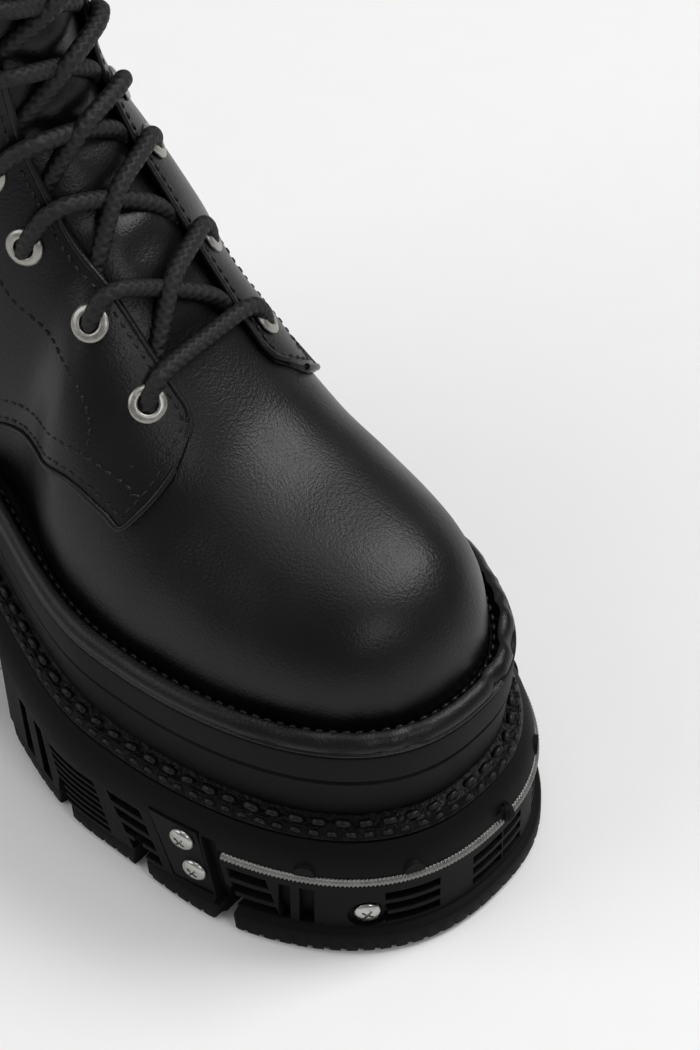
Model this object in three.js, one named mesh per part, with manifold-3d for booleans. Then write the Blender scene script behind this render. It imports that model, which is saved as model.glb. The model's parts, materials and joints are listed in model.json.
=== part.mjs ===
// A black leather lace-up platform boot, left foot.
// Millimetres. +X points to the toe, +Y to the wearer's left, which is the outer side, and +Z is up.
// The origin is on the floor, under the middle of the sole's length and width.
import * as THREE from 'three';
import { mergeVertices } from 'three/addons/utils/BufferGeometryUtils.js';
import Module from 'manifold-3d';

const wasm = await Module();
wasm.setup();

// Driving dimensions of the sole
const soleLength = 290;
const ballWidth = 126;
const heelLift = 18;
const outsoleHeight = 41.6;
const outsoleInset = 7.1;
const ledgeHeight = 4.4;
const ledgeInset = 12.4;
const lowerBandHeight = 15.7;
const upperBandHeight = 10.8;
const bandInset = 10.7;
const weltHeight = 5.5;
const featherInset = 17.9;
const weltGutter = 1.6;
const insoleThickness = 3.5;

// Driving dimensions of the lugs and of the metal parts of the sole
const lugPitch = 30.5;
const lugSlotWidth = 7;
const lugSlotDepth = 12;
const lugSlotHeight = 17;
const treadDepth = 4;
const archHeight = 45;
const archLength = 46;
const archMiddle = -23;
const panelDepth = 2.4;
const springDiameter = 3.2;
const springHeight = 29.4;
const springSetBack = 2.5;
const plateThickness = 2;
const toeScrewHeight = 15;
const screwDiameter = 7.6;
const tubeDiameter = 16;
const tubeReach = 2.5;

// Driving dimensions of the upper
const collarHeight = 298;
const wall = 2.2;
const quarterThickness = 1.8;
const throatHalfGap = 14.5;
const tongueThickness = 4;
const eyeletDiameter = 10.4;
const eyeletHole = 5.2;
const eyeletHeight = 1.4;
const eyeletSetBack = 8.5;
const eyeletPitch = 26;
const throatAxis = 4.4;
const laceDiameter = 4.8;

// Clearance between two pieces that touch on the real boot
const clearance = 0.3;

const leather = { color: 0x17171a, roughness: 0.42, metalness: 0 };
const rubber = { color: 0x141416, roughness: 0.55, metalness: 0 };
const steel = { color: 0xc8c8c6, roughness: 0.25, metalness: 1 };
const nickel = { color: 0x8d8c86, roughness: 0.4, metalness: 1 };
const cord = { color: 0x1b191c, roughness: 0.8, metalness: 0 };

const group = new THREE.Group();

function addPiece(name, solid, finish) {
  const mesh = new THREE.Mesh(toGeometry(solid), new THREE.MeshStandardMaterial(finish));
  mesh.name = name;
  group.add(mesh);
}

// Closed meshes and solids

function toSolid(points, faces) {
  const geometry = new THREE.BufferGeometry();
  const numbers = points.flatMap((point) => [point.x, point.y, point.z]);
  geometry.setAttribute('position', new THREE.Float32BufferAttribute(numbers, 3));
  geometry.setIndex(faces.flat());
  const merged = mergeVertices(geometry, 1e-4);
  const solid = new wasm.Manifold(new wasm.Mesh({
    numProp: 3,
    vertProperties: new Float32Array(merged.attributes.position.array),
    triVerts: new Uint32Array(merged.index.array),
  }));
  return solid.volume() < 0 ? toSolid(points, faces.map((face) => [face[0], face[2], face[1]])) : solid;
}

function toGeometry(solid) {
  const mesh = solid.getMesh();
  const geometry = new THREE.BufferGeometry();
  geometry.setAttribute('position', new THREE.BufferAttribute(new Float32Array(mesh.vertProperties), 3));
  geometry.setIndex(new THREE.BufferAttribute(new Uint32Array(mesh.triVerts), 1));
  geometry.computeVertexNormals();
  return geometry;
}

function geometrySolid(geometry) {
  const bare = geometry.clone();
  bare.deleteAttribute('normal');
  bare.deleteAttribute('uv');
  const merged = mergeVertices(bare, 1e-4);
  return new wasm.Manifold(new wasm.Mesh({
    numProp: 3,
    vertProperties: new Float32Array(merged.attributes.position.array),
    triVerts: new Uint32Array(merged.index.array),
  }));
}

// Joins loops of one even length into a skin. A loop starts and turns back on its own middle line,
// and each end is closed straight across from one side of the loop to the other.
function loft(loops) {
  const count = loops[0].length;
  const faces = [];
  for (let row = 0; row < loops.length - 1; row += 1) {
    for (let i = 0; i < count; i += 1) {
      const a = row * count + i;
      const b = row * count + (i + 1) % count;
      faces.push([a, b, b + count], [a, b + count, a + count]);
    }
  }
  const last = (loops.length - 1) * count;
  for (let i = 0; i < count / 2; i += 1) {
    const near = [i, i + 1];
    const far = [(count - i) % count, count - 1 - i];
    faces.push([near[0], far[0], far[1]], [near[0], far[1], near[1]]);
    faces.push([last + near[0], last + far[1], last + far[0]]);
    faces.push([last + near[0], last + near[1], last + far[1]]);
  }
  return toSolid(loops.flat(), faces.filter((face) => new Set(face).size === 3));
}

// Joins sections that run round a closed path, such as a welt round a sole.
function ringLoft(sections) {
  const count = sections[0].length;
  const faces = [];
  sections.forEach((section, s) => {
    const next = ((s + 1) % sections.length) * count;
    for (let i = 0; i < count; i += 1) {
      const j = (i + 1) % count;
      faces.push([s * count + i, next + i, next + j], [s * count + i, next + j, s * count + j]);
    }
  });
  return toSolid(sections.flat(), faces);
}

function smooth(t) {
  const c = Math.min(1, Math.max(0, t));
  return c * c * (3 - 2 * c);
}

// Plan of the sole. Each side is worked out from its half widths, as shares of the ball width,
// and from where the ball, waist and heel lie, as shares of the sole's length from the heel.
const sides = {
  inner: { sign: -1, ball: 0.525, ballAt: 0.65, toePower: 2.43, waist: 0.345, waistAt: 0.36,
    heel: 0.395, heelAt: 0.17, heelPower: 2.3 },
  outer: { sign: 1, ball: 0.475, ballAt: 0.63, toePower: 2.25, waist: 0.41, waistAt: 0.38,
    heel: 0.39, heelAt: 0.17, heelPower: 2.3 },
};
const toeAxis = ballWidth * (sides.inner.ball - sides.outer.ball) / 2;

function stationAt(share) {
  return (share - 0.5) * soleLength;
}

// Half width of one side at x, with the whole plan drawn in by an inset.
function halfWidth(side, x, inset) {
  const ballX = stationAt(side.ballAt);
  const waistX = stationAt(side.waistAt);
  const heelX = stationAt(side.heelAt);
  const end = soleLength / 2 - inset;
  const ball = side.ball * ballWidth - inset;
  const waist = side.waist * ballWidth - inset;
  const heel = side.heel * ballWidth - inset;
  if (x >= ballX) {
    const t = Math.min(1, (x - ballX) / (end - ballX));
    return ball * (1 - t ** side.toePower) ** (1 / side.toePower);
  }
  if (x >= waistX) return waist + (ball - waist) * smooth((x - waistX) / (ballX - waistX));
  if (x >= heelX) return heel + (waist - heel) * smooth((x - heelX) / (waistX - heelX));
  const t = Math.min(1, (heelX - x) / (heelX + end));
  return heel * (1 - t ** side.heelPower) ** (1 / side.heelPower);
}

function lift(x) {
  const start = stationAt(0.74);
  const end = stationAt(0.18);
  return heelLift * smooth((start - x) / (start - end));
}

// One loop round the plan. inset and height may be numbers or functions of x.
const stations = 24;
function planLoop(inset, height) {
  const insetAt = typeof inset === 'function' ? inset : () => inset;
  const heightAt = typeof height === 'function' ? height : () => height;
  const points = [];
  for (let pass = 0; pass < 2; pass += 1) {
    const side = pass === 0 ? sides.inner : sides.outer;
    for (let i = 0; i <= stations; i += 1) {
      const turn = Math.PI * (pass === 0 ? i : stations - i) / stations;
      const rough = -Math.cos(turn) * soleLength / 2;
      const drawIn = insetAt(rough);
      const x = -Math.cos(turn) * (soleLength / 2 - drawIn);
      const y = toeAxis + side.sign * halfWidth(side, x, drawIn);
      if (pass === 1 && (i === 0 || i === stations)) continue;
      points.push(new THREE.Vector3(x, y, heightAt(x)));
    }
  }
  return points;
}

function planStack(rows) {
  return loft(rows.map((row) => planLoop(row.inset, row.height)));
}

function raised(level) {
  return (x) => level + lift(x);
}

// Levels of the layers at the toe. Each rises by lift(x) towards the heel.
const ledgeLevel = outsoleHeight + clearance;
const bandLevel = ledgeLevel + ledgeHeight + clearance;
const bandSplit = bandLevel + lowerBandHeight;
const bandTop = bandSplit + clearance + upperBandHeight;
const featherLevel = bandTop + clearance;

// Point on the plan: the outline of one side drawn in by an inset, at a height over the floor
function planPoint(side, x, inset, height) {
  return new THREE.Vector3(x, toeAxis + side.sign * halfWidth(side, x, inset), height);
}

// A run of points along the outline, from the inner side round the toe to the outer side.
// A share of -1 to 0 is the inner side from rear to toe, and 0 to 1 the outer side from toe to rear.
function toeRun(reach, steps, inset, height) {
  const end = soleLength / 2 - inset;
  const points = [];
  for (let i = 0; i <= steps; i += 1) {
    const share = 2 * i / steps - 1;
    const side = share < 0 ? sides.inner : sides.outer;
    const x = reach + (end - reach) * Math.cos(Math.abs(share) * Math.PI / 2);
    points.push(planPoint(side, x, inset, height + lift(x)));
  }
  return points;
}

// Sweeps a round section along points
function tube(points, diameter, sidesCount, steps) {
  const curve = new THREE.CatmullRomCurve3(points, false, 'centripetal');
  const frames = curve.computeFrenetFrames(steps, false);
  const loops = [];
  for (let i = 0; i <= steps; i += 1) {
    const middle = curve.getPointAt(i / steps);
    const loop = [];
    for (let k = 0; k < sidesCount; k += 1) {
      const turn = 2 * Math.PI * k / sidesCount;
      loop.push(middle.clone()
        .addScaledVector(frames.normals[i], Math.cos(turn) * diameter / 2)
        .addScaledVector(frames.binormals[i], Math.sin(turn) * diameter / 2));
    }
    loops.push(loop);
  }
  return loft(loops);
}

// A block that follows the outline of one side, from an outer inset to an inner inset. Its face
// has four corners: two stations at a low level and two at a high level.
function sideBlock(side, face, steps, outerInset, innerInset) {
  const loops = [];
  for (let i = 0; i <= steps; i += 1) {
    const lowX = face.lowFrom + (face.lowTo - face.lowFrom) * i / steps;
    const highX = face.highFrom + (face.highTo - face.highFrom) * i / steps;
    loops.push([
      planPoint(side, lowX, outerInset, face.low),
      planPoint(side, highX, outerInset, face.high),
      planPoint(side, highX, innerInset, face.high),
      planPoint(side, lowX, innerInset, face.low),
    ]);
  }
  return loft(loops);
}

// Extrudes an outline in X and Z across the whole shoe
function acrossPrism(outline, from, to) {
  const shape = new THREE.Shape(outline.map(([x, z]) => new THREE.Vector2(x, z)));
  const geometry = new THREE.ExtrudeGeometry(shape, { depth: to - from, bevelEnabled: false });
  geometry.rotateX(Math.PI / 2);
  geometry.translate(0, to, 0);
  return geometrySolid(geometry);
}

function union(solids) {
  return solids.reduce((sum, solid) => sum.add(solid));
}

// Outsole

const frontSlot = stationAt(0.8207);
const forefootRear = archMiddle + archLength / 2;
const heelFront = archMiddle - archLength / 2;
const wallInset = 3;
const shelfHeight = 9;
const toeScrewStation = stationAt(0.935);
const springReach = frontSlot - springSetBack;
const lowerEdge = 4;

function outsoleBody() {
  const draft = (x) => lowerEdge * (smooth((stationAt(0.845) - x) / (stationAt(0.845) - stationAt(0.672)))
    - smooth((stationAt(0.172) - x) / (stationAt(0.172) - stationAt(0.017))));
  return planStack([
    { inset: (x) => 1.4 + draft(x), height: 0 },
    { inset: draft, height: 2 },
    { inset: (x) => 0.3 + draft(x), height: shelfHeight - 1 },
    { inset: (x) => 2.3 + 0.3 * draft(x), height: shelfHeight },
    { inset: wallInset, height: raised(31) },
    { inset: 4.4, height: raised(36.4) },
    { inset: outsoleInset, height: raised(outsoleHeight) },
  ]);
}

function waistArch() {
  const outline = [
    [forefootRear + 3, -1], [forefootRear, 7], [forefootRear, archHeight - 4],
    [forefootRear - 4, archHeight],
    [heelFront + 6, archHeight + 2], [heelFront, archHeight - 5], [heelFront, 7], [heelFront - 3, -1],
  ];
  return acrossPrism(outline, -ballWidth, ballWidth);
}

// Mirrors a cut made for the outer side when it is wanted on the inner side
function onSide(side, solid) {
  const turned = side.sign < 0 ? solid.mirror([0, 1, 0]) : solid;
  return turned.translate([0, toeAxis, 0]);
}

// A slot up the side between two lugs, narrower at its top
function lugSlot(side, x) {
  const inner = halfWidth(side, x, lugSlotDepth);
  return onSide(side, acrossPrism([
    [x - lugSlotWidth / 2, -1], [x + lugSlotWidth / 2, -1],
    [x + lugSlotWidth / 6, lugSlotHeight], [x - lugSlotWidth / 6, lugSlotHeight],
  ], inner, ballWidth * 0.6));
}

function treadGroove(x) {
  return acrossPrism([
    [x - lugSlotWidth / 3, -1], [x + lugSlotWidth / 3, -1],
    [x + lugSlotWidth / 4, treadDepth], [x - lugSlotWidth / 4, treadDepth],
  ], -ballWidth, ballWidth);
}

const slotStations = [];
for (let x = frontSlot; x > forefootRear + lugPitch / 2; x -= lugPitch) slotStations.push(x);
for (let x = heelFront - lugPitch; x > -soleLength / 2 + lugPitch / 2; x -= lugPitch) slotStations.push(x);

// The coil lies half sunk in a groove round the toe
const springInset = wallInset + 0.5;

function springPath(reach) {
  return toeRun(reach, 16, springInset, springHeight);
}

function springGroove() {
  return tube(springPath(springReach - 1), (springDiameter + 3 * clearance) * Math.SQRT2, 4, 18);
}

// Sunk panels on the side of the outsole. Those round the toe are placed by their share of the
// way from the spring's ends to the toe tip.
const toePanels = [
  { from: 0, to: 0.11, low: 11, high: 24, slots: 3 },
  { from: 0.24, to: 0.44, low: 11, high: 24, slots: 3 },
  { from: 0.68, to: 0.73, low: 10, high: 25, slots: 1 },
  { from: 0.76, to: 0.8, low: 10, high: 25, slots: 1 },
];

// Panels on the lugs. The stations are distances from the front slot.
const lugPanels = [
  // lowFrom, lowTo, highFrom, highTo, low, high, slots
  [2, 14, -1, 10, 10, 25, 3],
  [-4, 0.5, -8.8, -4.3, 8, 34, 1],
  [-33, -22, -41, -29, 10, 31, 1],
  [-60, -41, -65, -46, 10, 30, 4],
  [-71, -66, -73, -69, 10, 32, 1],
  [-81, -76, -82, -78, 10, 32, 1],
  [-172, -158, -172, -158, 12, 38, 2],
  [-204, -190, -204, -190, 12, 38, 2],
];

// Splits a panel's height into slots with ribs between them that are half as high
function slotLevels(low, high, slots) {
  const pitch = (high - low) / (slots - 1 / 3);
  const levels = [];
  for (let i = 0; i < slots; i += 1) {
    const from = slots === 1 ? low : low + i * pitch;
    levels.push([from, slots === 1 ? high : from + pitch * 2 / 3]);
  }
  return levels;
}

function toeBlock(side, from, to, outerInset, innerInset, low, high) {
  const reach = (share, inset, z) => {
    const end = soleLength / 2 - inset;
    const x = springReach + (end - springReach) * Math.cos(share * Math.PI / 2);
    return planPoint(side, x, inset, z);
  };
  return loft([from, (from + to) / 2, to].map((share) => [
    reach(share, outerInset, low),
    reach(share, outerInset, high),
    reach(share, innerInset, high),
    reach(share, innerInset, low),
  ]));
}

// One slice of a slanted panel between two levels
function panelSlice(panel, low, high) {
  const [lowFrom, lowTo, highFrom, highTo, bottom, top] = panel;
  const blend = (from, to, z) => frontSlot + from + (to - from) * (z - bottom) / (top - bottom);
  return {
    lowFrom: blend(lowFrom, highFrom, low),
    lowTo: blend(lowTo, highTo, low),
    highFrom: blend(lowFrom, highFrom, high),
    highTo: blend(lowTo, highTo, high),
    low,
    high,
  };
}

function sidePanels(side) {
  const cuts = [];
  toePanels.forEach((panel) => slotLevels(panel.low, panel.high, panel.slots).forEach(([low, high]) => {
    cuts.push(toeBlock(side, panel.from, panel.to, -2, wallInset + panelDepth, low, high));
  }));
  lugPanels.forEach((panel) => {
    const [bottom, top, slots] = panel.slice(4);
    slotLevels(bottom, top, slots).forEach(([low, high]) => {
      cuts.push(sideBlock(side, panelSlice(panel, low, high), 1, -6, wallInset + panelDepth));
    });
  });
  return cuts;
}

function outsole() {
  const cuts = [waistArch(), springGroove()];
  Object.values(sides).forEach((side) => {
    cuts.push(...sidePanels(side), plateSeat(side), screwPocket(side));
  });
  slotStations.forEach((x) => {
    cuts.push(lugSlot(sides.inner, x), lugSlot(sides.outer, x), treadGroove(x));
  });
  return outsoleBody().subtract(union(cuts));
}

// Smooth plate with two screws, let into the second lug on each side. The stations are distances
// from the front slot.
const plateFace = { lowFrom: -18, lowTo: -5.5, highFrom: -25.5, highTo: -10, low: 10, high: 34.5 };
const plateScrews = {
  // distance from the front slot, height
  upper: [-14.5, 29.3],
  lower: [-11, 17.5],
};

function plateCorners(grow) {
  return {
    lowFrom: frontSlot + plateFace.lowFrom - grow,
    lowTo: frontSlot + plateFace.lowTo + grow,
    highFrom: frontSlot + plateFace.highFrom - grow,
    highTo: frontSlot + plateFace.highTo + grow,
    low: plateFace.low - grow,
    high: plateFace.high + grow,
  };
}

function plateSeat(side) {
  return sideBlock(side, plateCorners(clearance * 1.3), 3, -8, wallInset + plateThickness + clearance);
}

function sidePlate(side) {
  return sideBlock(side, plateCorners(0), 3, wallInset, wallInset + plateThickness);
}

// Stands a turned shape on a spot of the side, square to it
function onWall(solid, side, x, inset, z) {
  const here = planPoint(side, x, inset, z);
  const ahead = planPoint(side, x + 1, inset, z).sub(planPoint(side, x - 1, inset, z));
  const outward = new THREE.Vector3(-ahead.y, ahead.x, 0).multiplyScalar(side.sign).normalize();
  return placed(solid, here, outward);
}

function turned(profile, sidesCount) {
  const points = profile.map(([radius, height]) => new THREE.Vector2(radius, height));
  return geometrySolid(new THREE.LatheGeometry(points, sidesCount));
}

// A domed screw head that stands just off its seat
function screwHead() {
  const radius = screwDiameter / 2;
  return turned([[0, clearance], [radius, clearance], [radius, 1], [radius * 0.7, 1.8], [0, 2.2]], 10);
}

// The round pocket of the toe screw
function screwPocket(side) {
  const pocket = turned([[0, 0], [screwDiameter * 0.75, 0], [screwDiameter * 0.8, 12], [0, 12]], 12);
  return onWall(pocket, side, toeScrewStation, wallInset + 1, toeScrewHeight);
}

// Moves a solid made round +Y so that +Y points along an axis
function placed(solid, position, axis) {
  const turn = new THREE.Quaternion().setFromUnitVectors(new THREE.Vector3(0, 1, 0), axis);
  const matrix = new THREE.Matrix4().compose(position, turn, new THREE.Vector3(1, 1, 1));
  return solid.transform(matrix.elements);
}

// Polished tube across the waist, in the upper corner behind the forefoot
function waistTube() {
  const radius = tubeDiameter / 2;
  const x = forefootRear - radius - clearance;
  const innerEnd = toeAxis - halfWidth(sides.inner, x, wallInset) - tubeReach;
  const outerEnd = toeAxis + halfWidth(sides.outer, x, wallInset) + tubeReach;
  const length = outerEnd - innerEnd;
  const rim = 1.6;
  const profile = [[0, 0], [radius - rim, 0], [radius, rim], [radius, length - rim], [radius - rim, length],
    [0, length]];
  return turned(profile, 16).translate([x, innerEnd, archHeight - 4 - radius]);
}

// The upper, worked out from sections that turn from upright at the toe to level at the collar.
// x is a share of the sole's length from the heel, z a share of the height from feather to collar.
// inner and outer are half widths as shares of the ball width, or 0 where the plan of the sole sets them.
const sectionTable = [
  // topX, topZ, lowX, lowZ, inner, outer, wide, topPower, lowPower, nose, centre
  [0.9376, 0.037, 0.9376, -0.052, 0, 0, 0.5, 2.2, 6, 1, 0],
  [0.9334, 0.064, 0.9334, -0.052, 0, 0, 0.45, 2.2, 7, 1, 0],
  [0.9248, 0.095, 0.9248, -0.052, 0, 0, 0.42, 2.2, 8, 0.9, 0],
  [0.9086, 0.126, 0.9086, -0.052, 0, 0, 0.4, 2.25, 8, 0.75, 0],
  [0.8828, 0.153, 0.8828, -0.052, 0, 0, 0.38, 2.3, 8, 0.55, 0],
  [0.8483, 0.173, 0.8483, -0.052, 0, 0, 0.3, 2.35, 8, 0.35, 0],
  [0.8034, 0.191, 0.8034, -0.052, 0, 0, 0.24, 2.35, 8, 0.15, 0],
  [0.7517, 0.211, 0.7517, -0.052, 0, 0, 0.18, 2.35, 8, 0, 0.1],
  [0.7000, 0.242, 0.7000, -0.052, 0, 0, 0.14, 2.3, 8, 0, 0.3],
  [0.6534, 0.289, 0.6534, -0.052, 0, 0, 0.13, 2.3, 8, 0, 0.6],
  [0.6138, 0.340, 0.5966, -0.052, 0, 0, 0.14, 2.35, 8, 0, 0.8],
  [0.5759, 0.394, 0.5414, -0.052, 0, 0, 0.18, 2.4, 7, 0, 1],
  [0.5414, 0.443, 0.4586, -0.052, 0.245, 0.33, 0.28, 2.4, 5, 0, 1],
  [0.5138, 0.485, 0.3552, -0.043, 0.245, 0.325, 0.4, 2.4, 3.2, 0, 1],
  [0.4966, 0.523, 0.2517, -0.021, 0.255, 0.312, 0.47, 2.3, 2.6, 0, 1],
  [0.4862, 0.556, 0.1500, 0.010, 0.265, 0.3, 0.48, 2.25, 2.8, 0, 1],
  [0.4793, 0.590, 0.0720, 0.055, 0.272, 0.288, 0.48, 2.2, 2.9, 0, 1],
  [0.4741, 0.626, 0.0552, 0.135, 0.276, 0.278, 0.5, 2.15, 2.2, 0, 1],
  [0.4690, 0.663, 0.0552, 0.264, 0.28, 0.282, 0.5, 2.1, 2, 0, 0.9],
  [0.4655, 0.706, 0.0759, 0.407, 0.288, 0.29, 0.5, 2.1, 2, 0, 0.8],
  [0.4586, 0.786, 0.0966, 0.585, 0.302, 0.302, 0.5, 2.1, 2.05, 0, 0.6],
  [0.4517, 0.889, 0.1000, 0.786, 0.318, 0.318, 0.5, 2.15, 2.1, 0, 0.4],
  [0.4414, 1.000, 0.0897, 1.000, 0.332, 0.332, 0.5, 2.2, 2.15, 0, 0.3],
  [0.4379, 1.071, 0.0862, 1.071, 0.335, 0.335, 0.5, 2.2, 2.15, 0, 0.3],
];
const collarRow = sectionTable.length - 2;
const upperRise = collarHeight - featherLevel;

const sectionRows = sectionTable.map((row) => {
  const [topX, topZ, lowX, lowZ, inner, outer, wide, topPower, lowPower, nose, centre] = row;
  const planX = stationAt(lowX);
  const shift = centre * (throatAxis - toeAxis);
  return {
    topX: stationAt(topX),
    topZ: featherLevel + topZ * upperRise,
    lowX: planX,
    lowZ: featherLevel + lowZ * upperRise,
    inner: inner ? inner * ballWidth : halfWidth(sides.inner, planX, featherInset) + shift,
    outer: outer ? outer * ballWidth : halfWidth(sides.outer, planX, featherInset) - shift,
    wide,
    topPower,
    lowPower,
    nose,
    centre: toeAxis + shift,
  };
});

// The section at any place between two rows, on a smooth curve through the rows
function sectionAt(place) {
  const row = Math.min(sectionRows.length - 2, Math.floor(place));
  const t = place - row;
  const near = [row - 1, row, row + 1, row + 2]
    .map((i) => sectionRows[Math.min(sectionRows.length - 1, Math.max(0, i))]);
  const blend = {};
  Object.keys(near[0]).forEach((key) => {
    const [a, b, c, d] = near.map((section) => section[key]);
    blend[key] = b + 0.5 * t * (c - a + t * (2 * a - 5 * b + 4 * c - d + t * (3 * (b - c) + d - a)));
  });
  return blend;
}

// Point of a section at an angle from its top, grown outwards by an offset
function sectionPoint(section, angle, offset) {
  const c = Math.cos(angle);
  const s = Math.sin(angle);
  const power = c >= 0 ? section.topPower : section.lowPower;
  const along = Math.abs(c) ** (2 / power);
  const across = Math.abs(s) ** (2 / power);
  const axisX = section.topX - section.lowX;
  const axisZ = section.topZ - section.lowZ;
  const span = Math.hypot(axisX, axisZ);
  const share = c >= 0 ? section.wide + (1 - section.wide) * along : section.wide * (1 - along);
  const reach = share * (span + 2 * offset) - offset;
  const half = (s >= 0 ? section.inner : section.outer) + offset;
  return new THREE.Vector3(
    section.lowX + axisX * reach / span + section.nose * offset,
    section.centre - Math.sign(s) * half * across,
    section.lowZ + axisZ * reach / span,
  );
}

function sectionLoop(place, count, offset) {
  const section = sectionAt(place);
  const loop = [];
  for (let i = 0; i < count; i += 1) loop.push(sectionPoint(section, 2 * Math.PI * i / count, offset));
  return loop;
}

// Places of the sections that make the skins
const places = [];
for (let row = 0; row <= collarRow; row += 1) {
  places.push(row);
  if (row >= 8 && row < 14) places.push(row + 0.5);
}
const outerCount = 20;

function bootForm(offset, extra) {
  const loops = places.map((place) => sectionLoop(place, outerCount, offset));
  if (extra) loops.push(sectionLoop(collarRow + 1, outerCount, offset));
  return loft(loops);
}

// Everything under the feather line
function underFeather() {
  return planStack([
    { inset: -20, height: 0 },
    { inset: -20, height: raised(featherLevel) },
  ]);
}

// The slit of the throat, from a place on the sections upwards. It may start wider than it goes on,
// which rounds the corners it leaves, and may draw in at its top.
function throatCut(start, halfGap, flare, crown) {
  const rows = [[start, 1 + flare], [start + 0.15, 1 + flare * 0.42], [start + 0.3, 1 + flare * 0.09],
    [start + 0.55, 1]];
  for (let place = Math.ceil(start + 1); place <= collarRow; place += 1) rows.push([place, 1]);
  rows.push([collarRow + 0.5, 1 - crown * 0.15], [collarRow + 0.8, 1 - crown * 0.45], [collarRow + 1, 1 - crown]);
  const loops = rows.map(([place, share]) => {
    const section = sectionAt(place);
    const half = halfGap * share;
    const at = (reach, y) => new THREE.Vector3(
      section.lowX + (section.topX - section.lowX) * reach,
      section.centre + y,
      section.lowZ + (section.topZ - section.lowZ) * reach,
    );
    return [at(0.72, -half), at(1.2, -half), at(1.2, half), at(0.72, half)];
  });
  return loft(loops);
}

const vampThroat = 9.75;
const facingThroat = 8.45;
const tongueFoot = 8.8;
const underLap = 10.9;
const tongueCrown = 0.5;

function upper() {
  return bootForm(0, false)
    .subtract(bootForm(-wall, true))
    .subtract(throatCut(vampThroat, throatHalfGap + 0.5, 0, 0))
    .subtract(underFeather());
}

// Front and lower edge of a quarter, seen from the side, as shares of the sole's length from the
// heel and of the height from feather to collar
const quarterEdge = [
  // x, z
  [0.72, 1.4], [0.69, 0.42], [0.667, 0.31], [0.677, 0.255], [0.677, 0.228], [0.668, 0.2], [0.654, 0.178],
  [0.631, 0.19], [0.586, 0.203], [0.528, 0.18], [0.474, 0.158], [0.41, 0.12], [0.36, 0.07], [0.34, -0.1],
];

function quarter(side) {
  const outline = [[-0.1, -0.1], [-0.1, 1.4], ...quarterEdge]
    .map(([x, z]) => [stationAt(x), featherLevel + z * upperRise]);
  const region = side.sign < 0
    ? acrossPrism(outline, -ballWidth, throatAxis - clearance / 2)
    : acrossPrism(outline, throatAxis + clearance / 2, ballWidth);
  const skirt = planStack([
    { inset: -20, height: 0 },
    { inset: -20, height: raised(featherLevel + weltHeight + 2 * clearance) },
  ]);
  return bootForm(clearance + quarterThickness, false)
    .subtract(bootForm(clearance, true))
    .intersect(region)
    .subtract(throatCut(facingThroat, throatHalfGap, 1, 0))
    .subtract(skirt);
}

function tongue() {
  const depth = wall + clearance;
  return bootForm(-depth, true)
    .subtract(bootForm(-depth - tongueThickness, true))
    .intersect(throatCut(tongueFoot, throatHalfGap + underLap, 0, tongueCrown));
}

function insole() {
  return planStack([
    { inset: featherInset + wall + 2, height: raised(featherLevel) },
    { inset: featherInset + wall + 2, height: raised(featherLevel + insoleThickness) },
  ]).intersect(bootForm(-wall - clearance, false));
}

// Covered welt, a soft roll round the foot of the upper
function welt() {
  const profile = [[bandInset, 0], [bandInset - 0.4, 0.4], [bandInset + 1, 0.84], [bandInset + 3.4, 1],
    [featherInset - weltGutter, 0.75], [featherInset - weltGutter, 0]];
  const rows = profile.map(([inset, rise]) => planLoop(inset, raised(featherLevel + rise * weltHeight)));
  const sections = rows[0].map((_, i) => rows.map((row) => row[i]));
  return ringLoft(sections).subtract(bootForm(clearance, false));
}

// Point on the outside of the boot at a place on the sections, a distance across from the throat's
// middle, and an offset from the upper's face
function surfacePoint(place, across, offset) {
  const section = sectionAt(place);
  const half = across < 0 ? section.inner : section.outer;
  const share = Math.min(1, Math.abs(across) / (half + offset)) ** (section.topPower / 2);
  return sectionPoint(section, (across < 0 ? 1 : -1) * Math.asin(share), offset);
}

function surfaceNormal(place, across) {
  const along = surfacePoint(place + 0.1, across, 0).sub(surfacePoint(place - 0.1, across, 0));
  const over = surfacePoint(place, across + 0.5, 0).sub(surfacePoint(place, across - 0.5, 0));
  return over.cross(along).normalize();
}

// The eyelets follow the throat's edge from its lower end. Those just past the instep sit closer.
const eyeletSteps = [0, 1, 1.13, 0.7, 0.85, 0.98, 0.98, 0.98];
const firstEyelet = 9.49;
const eyeletAcross = throatHalfGap + eyeletSetBack;

function placeAfter(start, across, distance) {
  const step = 0.02;
  let place = start;
  let travelled = 0;
  while (travelled < distance) {
    travelled += surfacePoint(place, across, 0).distanceTo(surfacePoint(place + step, across, 0));
    place += step;
  }
  return place;
}

const eyeletPlaces = [];
eyeletSteps.forEach((step) => {
  const last = eyeletPlaces.length ? eyeletPlaces[eyeletPlaces.length - 1] : firstEyelet;
  eyeletPlaces.push(placeAfter(last, eyeletAcross, step * eyeletPitch));
});

function eyelet(place, sign) {
  const outer = eyeletDiameter / 2;
  const inner = eyeletHole / 2;
  const ring = turned([[inner, 0], [outer, 0], [outer - 0.6, eyeletHeight], [inner, eyeletHeight * 0.8],
    [inner, 0]], 9);
  const normal = surfaceNormal(place, sign * eyeletAcross);
  const seat = surfacePoint(place, sign * eyeletAcross, 2.5 * clearance + quarterThickness);
  return placed(ring, seat, normal);
}

// Laces. A strand leaves the throat's edge by one eyelet, crosses over, and ends over the next
// eyelet on the other side. The strand that runs to the wearer's left lies on top.
const laceOverEyelet = 2 * clearance + quarterThickness + eyeletHeight + 2 * clearance + laceDiameter / 2;
const laceOverEdge = clearance + quarterThickness + 2 * clearance + laceDiameter / 2;
const laceSides = 6;

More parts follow.
